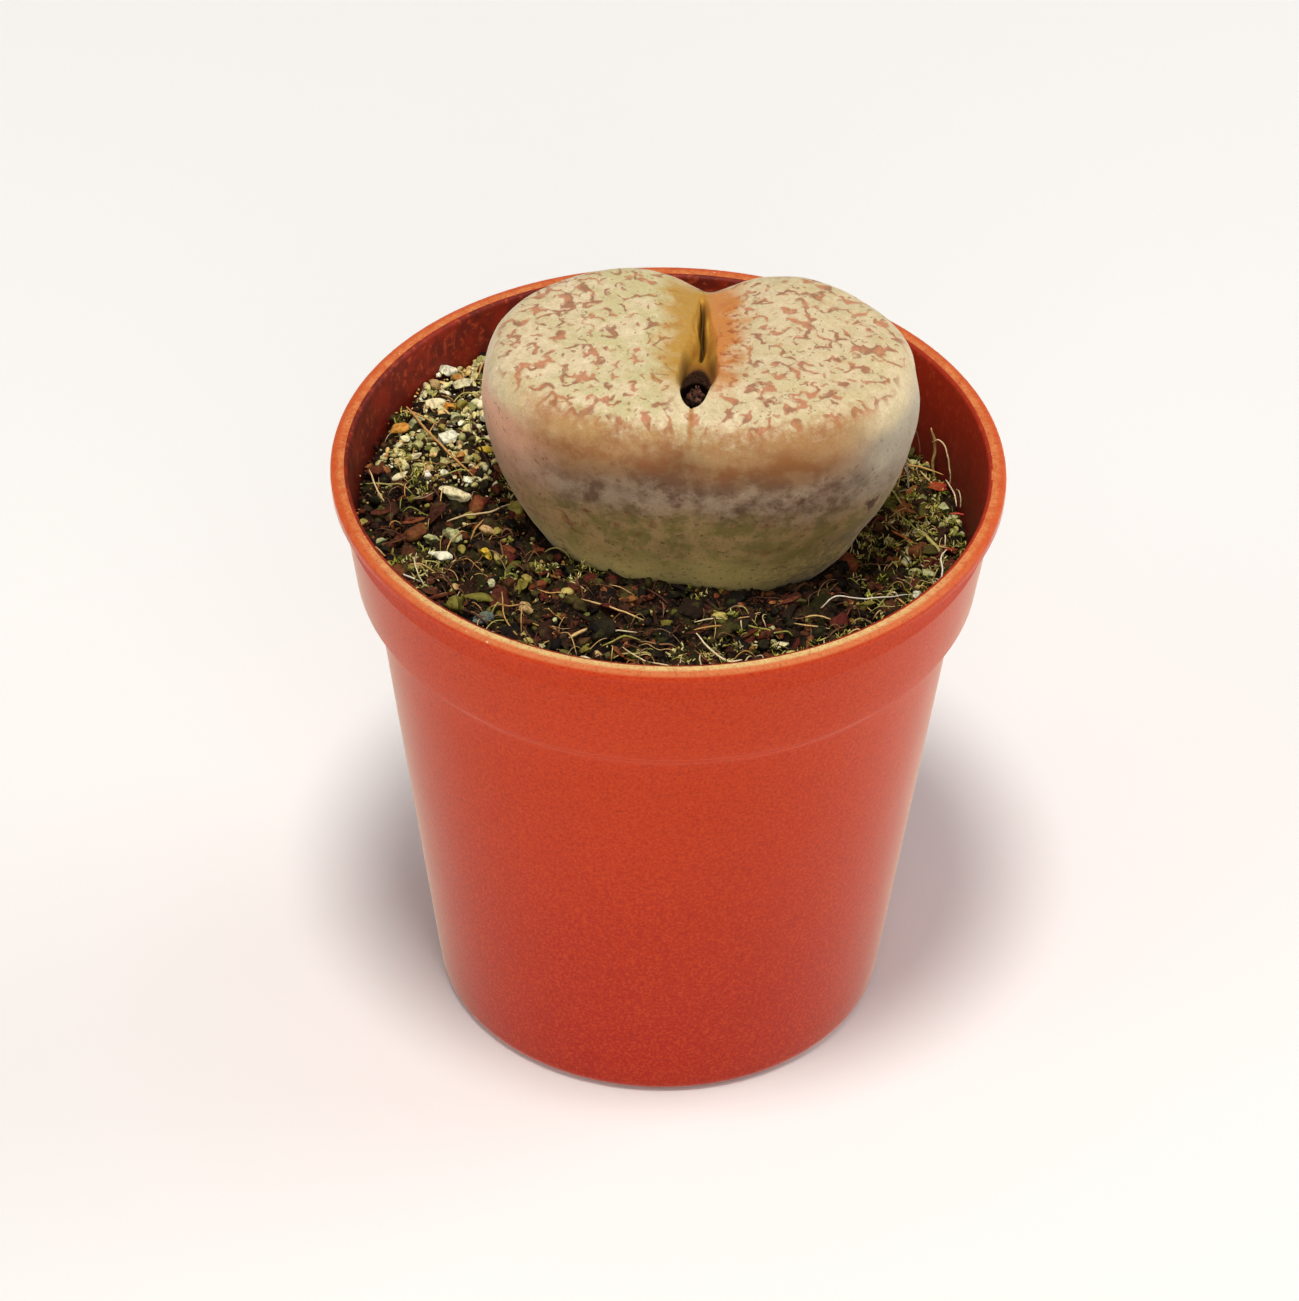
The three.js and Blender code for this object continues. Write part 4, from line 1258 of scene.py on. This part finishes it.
# points of (x, y, height above the soil), thickness, and colour
knownStraws = [
    ([(-21.8, 10.7, 1.3), (-20.9, 9.9, 1.3), (-19.9, 7.8, 1.2), (-17.8, 5.1, 1.0),
      (-16.0, 3.7, 0.5)], 0.3, "tan"),
    ([(-21.6, 10.6, 1.2), (-20.5, 10.0, 1.2), (-19.3, 9.2, 1.0)], 0.24, "tan"),
    ([(-24.5, 2.6, 1.6), (-23.9, 1.0, 1.1), (-23.1, -0.4, 0.3)], 0.2, "pale"),
    ([(-18.0, -1.8, 0.7), (-16.4, -1.4, 0.9), (-14.7, -0.7, 0.9), (-12.8, 0.5, 0.8)], 0.24, "pale"),
    ([(-16.0, -3.8, 0.4), (-15.6, -3.0, 0.8), (-15.0, -1.8, 0.9)], 0.2, "tan"),
    ([(-20.4, -7.0, 0.7), (-20.2, -8.8, 0.8), (-19.5, -10.2, 0.4)], 0.16, "pale"),
    ([(-22.0, -9.2, 0.8), (-20.9, -9.5, 0.7), (-19.7, -9.6, 0.3)], 0.22, "white"),
    ([(-13.2, -10.9, 0.9), (-13.0, -13.2, 0.8), (-12.3, -14.8, 0.7), (-11.5, -16.0, 0.3)], 0.2, "tan"),
    ([(-11.6, -14.5, 0.8), (-10.8, -15.6, 0.6), (-10.1, -16.5, 0.3)], 0.18, "brown"),
    ([(-11.6, -13.9, 0.6), (-10.1, -14.2, 0.8), (-8.5, -14.9, 0.3)], 0.18, "tan"),
    ([(-10.1, -13.4, 0.5), (-9.0, -14.6, 0.6), (-7.9, -15.5, 0.3)], 0.22, "brown"),
    ([(-6.8, -10.4, 0.7), (-4.2, -11.6, 0.8), (-1.5, -12.5, 0.3)], 0.22, "tan"),
    ([(-3.4, -16.4, 0.6), (-1.6, -17.5, 0.6), (-0.4, -17.8, 0.7), (1.0, -17.9, 0.7)], 0.2, "pale"),
    ([(2.5, -13.8, 0.8), (3.8, -15.2, 0.7), (5.1, -16.3, 0.6), (6.2, -16.3, 0.4)], 0.26, "pale"),
    ([(-7.7, -15.7, 0.6), (-6.3, -14.5, 0.8)], 0.42, "tan"),
    ([(-5.0, -14.5, 0.5), (-3.7, -13.9, 0.8), (-2.3, -13.7, 0.5)], 0.18, "pale"),
    ([(2.3, -11.7, 0.5), (3.4, -11.3, 0.7), (4.6, -11.1, 0.4)], 0.16, "pale"),
    ([(2.3, -13.0, 0.5), (3.7, -12.5, 0.7), (5.0, -11.7, 0.5)], 0.22, "tan"),
    ([(20.0, 8.8, 0.0), (19.8, 8.9, 2.2), (19.6, 8.9, 4.5)], 0.22, "white"),
    ([(22.2, 10.6, 0.0), (21.9, 10.8, 1.5), (22.1, 10.9, 3.0), (21.7, 11.0, 4.9)], 0.36, "tan"),
    ([(21.8, 11.0, 3.5), (22.3, 10.6, 4.1), (22.9, 10.0, 3.6), (23.3, 9.3, 2.2),
      (23.4, 8.8, 0.6)], 0.2, "pale"),
    ([(19.0, 10.9, 2.0), (19.9, 10.7, 1.2), (20.9, 10.4, 0.9), (22.8, 9.7, 0.9)], 0.24, "tan"),
    ([(23.0, 9.2, 0.9), (23.7, 7.8, 1.0), (23.9, 6.6, 0.4)], 0.18, "pale"),
    ([(18.3, 7.5, 0.9), (19.0, 6.4, 0.7), (19.7, 5.2, 0.4)], 0.22, "straw"),
    ([(18.3, 5.3, 1.0), (20.2, 3.0, 1.0), (22.1, 0.6, 0.5)], 0.22, "straw"),
    ([(20.9, 10.2, 0.7), (21.9, 8.6, 0.8)], 0.2, "tan"),
    ([(22.9, -1.1, 1.8), (22.4, -1.9, 1.4), (22.5, -3.5, 1.1), (22.1, -4.7, 1.0)], 0.2, "white"),
    ([(12.6, -8.7, 0.6), (13.8, -8.0, 1.0), (15.7, -7.6, 1.3), (17.1, -7.6, 1.2),
      (20.2, -6.0, 0.8)], 0.18, "white"),
    ([(16.9, -6.9, 0.8), (17.9, -5.3, 1.2)], 0.16, "brown"),
    ([(17.2, -8.1, 0.6), (18.5, -6.0, 1.2)], 0.18, "straw"),
    ([(18.4, 1.9, 0.8), (20.5, 0.4, 0.5)], 0.3, "orange"),
    ([(11.3, -10.2, 0.6), (12.4, -9.9, 0.8), (13.6, -9.9, 0.5)], 0.22, "tan"),
    ([(10.4, -11.4, 0.6), (12.0, -11.2, 0.8), (13.3, -11.2, 0.5)], 0.2, "tan"),
    ([(20.8, 2.6, 0.7), (21.6, 1.2, 0.9), (22.4, 0.2, 0.6)], 0.5, "straw"),
    ([(23.9, 7.6, 1.6), (24.1, 6.4, 2.0), (24.2, 5.6, 1.2)], 0.14, "pale"),
    ([(20.9, 11.2, 1.2), (20.7, 11.4, 3.0), (20.4, 11.5, 3.9)], 0.16, "brown"),
    ([(23.3, 3.7, 1.5), (23.9, 3.8, 1.65), (24.4, 3.9, 1.7)], 0.26, "red"),
]
strawColours = {
    "tan": [(206, 162, 98), (190, 144, 84), (216, 178, 118)],
    "pale": [(226, 200, 150), (212, 184, 136), (232, 212, 170)],
    "white": [(240, 228, 204)],
    "straw": [(170, 164, 84), (150, 152, 70), (188, 176, 102)],
    "brown": [(124, 84, 56), (104, 66, 44), (146, 106, 72), (92, 58, 42)],
    "orange": [(196, 116, 62)],
    "red": [(204, 84, 62)],
    "root": [(86, 50, 36), (110, 64, 46), (70, 46, 34), (128, 92, 66), (96, 42, 34), (150, 122, 90)],
}
threads = {
    "seed": 29,
    "slimness": 0.36,  # radius of the known straws, as a share of the listed thickness
    "straws": (190, 0.07, 0.17),  # count, thinnest and thickest
    "roots": (440, 0.05, 0.1),
    "bits": (220, 0.08, 0.17),
}


def makeThreads():
    rng = np.random.default_rng(threads["seed"])
    kinds = list(strawColours)
    straws, roots = Heap(), Heap()

    def onSoil(points):
        placed = np.array(points, float)
        placed[:, 2] += soilHeight(placed[:, 0], placed[:, 1])
        return placed

    for points, thickness, kind in knownStraws:
        path = curveThrough(onSoil(points), 8)
        path += 0.05 * np.stack([lumps(path, 0.8, 3 + axis) for axis in range(3)], axis=1)
        tube(straws, path, thickness * threads["slimness"], 8, kinds.index(kind), taper=0.5)

    def wander(heap, count, thin, thick, longest, sides, choices, lift, likely=None):
        made = 0
        while made < count:
            start = scatter(1, 0.5, rng)[0]
            if likely and rng.random() > likely(*start):
                continue
            heading = rng.uniform(0, 2 * math.pi)
            bend = rng.normal(0, 0.22)
            length = longest * rng.uniform(0.25, 1)
            spots = [start]
            for _ in range(4):
                heading += bend + rng.normal(0, 0.15)
                spots.append(spots[-1] + length / 4 * np.array([math.cos(heading), math.sin(heading)]))
            spots = np.array(spots)
            if roomAround(spots[:, 0], spots[:, 1]).min() < 0.3:
                continue
            rise = lift * rng.uniform(0.3, 1) * np.array([-0.2, 0.7, 1, 0.7, -0.2]) + 0.25
            path = curveThrough(onSoil(np.column_stack([spots, rise])), 4)
            kind = kinds.index(rng.choice(choices))
            tube(heap, path, rng.uniform(thin, thick) / 2, sides, kind)
            made += 1

    wander(straws, *threads["straws"], 4.5, 6, ["tan", "brown", "root", "root", "straw"], 0.8)
    wander(roots, *threads["roots"], 4.0, 4, ["root", "root", "brown", "tan"], 0.7)
    wander(roots, *threads["bits"], 2.2, 4, ["straw", "straw", "tan", "pale"], 0.5, mossiness)
    # the last argument sets how strong the painted shade is down the threads' sides
    finishes = [grainFinish(name + "Thread", palette, 0.3, 0.6, 0, 0.7)
                for name, palette in strawColours.items()]
    keepAsSoil(straws.piece("straws", finishes))
    keepAsSoil(roots.piece("root_hairs", finishes))


makeThreads()
print("straws laid")


# Moss: tufts of short pointed leaves

moss = {"seed": 41, "tufts": 620, "leaves": 9, "longest": 0.85, "leafRadius": 0.075}


def makeMoss():
    rng = np.random.default_rng(moss["seed"])
    heap = Heap()
    made = 0
    while made < moss["tufts"]:
        x, y = scatter(1, 0.5, rng)[0]
        # painted shade: fewer moss tufts where the plant's shadow falls
        if rng.random() > mossiness(x, y) * (1 - 0.7 * grittiness(x, y)) * (1 - 0.8 * shadowPeat(x, y)):
            continue
        foot = np.array([x, y, float(soilHeight(x, y)) + rng.uniform(0.0, 0.35)])
        kind = int(rng.integers(0, 3))
        for _ in range(moss["leaves"]):
            lean = rng.normal(0, 0.75, 2)
            direction = np.array([lean[0], lean[1], 1.0])
            direction *= moss["longest"] * rng.uniform(0.4, 1) / np.linalg.norm(direction)
            start = foot + np.append(rng.normal(0, 0.2, 2), 0)
            path = np.array([start, start + direction * 0.5, start + direction])
            path[2, 2] -= 0.12 * rng.random()
            tube(heap, path, moss["leafRadius"], 3, kind, taper=0.3)
        made += 1
    palettes = [[(62, 62, 22), (92, 90, 32), (112, 102, 42), (46, 44, 18)],
                [(152, 152, 50), (182, 178, 72), (96, 100, 30), (226, 214, 118)],
                [(206, 194, 106), (232, 216, 146), (158, 140, 66), (240, 228, 168)]]
    # the last argument sets how strong the painted shade is down the moss leaves' sides
    finishes = [grainFinish(f"moss{index}", palette, 0.3, 0.7, 0, 0.4)
                for index, palette in enumerate(palettes)]
    keepAsSoil(heap.piece("moss", finishes))


makeMoss()
print("moss grown")


# The floor and the light

def makeFloor():
    floor = Finish("floor", Roughness=0.9)
    floor.shader.inputs["Base Color"].default_value = colour(246, 245, 243)
    corners = [(-4000, -4000, -0.02), (4000, -4000, -0.02), (4000, 4000, -0.02), (-4000, 4000, -0.02)]
    piece = meshPiece("floor", corners, [(0, 1, 2, 3)], [floor.material])


light = {
    # the way towards it, distance and size in metres, power in watts, tint
    "key": ((-0.03, -0.22, 1.0), 0.9, 0.2, 5.35, (1.0, 0.97, 0.92)),
    "front": ((0.1, -1.0, 0.6), 1.1, 0.7, 2.6, (1.0, 0.98, 0.96)),
    "side": ((1.0, 0.35, 0.3), 1.2, 0.9, 5.9, (0.97, 0.98, 1.0)),
    "fill": ((-1.0, -0.5, 0.5), 1.2, 0.8, 1.6, (1.0, 0.98, 0.95)),
}
skyStrength = 0.27


def makeLamp(name, towards, distance, size, power, tint):
    data = bpy.data.lights.new(name, "AREA")
    data.shape = "DISK"
    data.size = size
    data.energy = power
    data.color = tint
    lamp = bpy.data.objects.new(name, data)
    scene.collection.objects.link(lamp)
    towards = Vector(towards).normalized()
    lamp.location = towards * distance + Vector((0, 0, 0.04))
    lamp.rotation_euler = towards.to_track_quat("Z", "Y").to_euler()


def makeLight():
    for name, values in light.items():
        makeLamp(name, *values)
    world = bpy.data.worlds.new("sky")
    world.use_nodes = True
    sky = world.node_tree.nodes["Background"]
    sky.inputs["Color"].default_value = (1, 1, 1, 1)
    sky.inputs["Strength"].default_value = skyStrength
    scene.world = world
    scene.view_settings.view_transform = "Standard"


makeFloor()
makeLight()
print("floor and light placed")
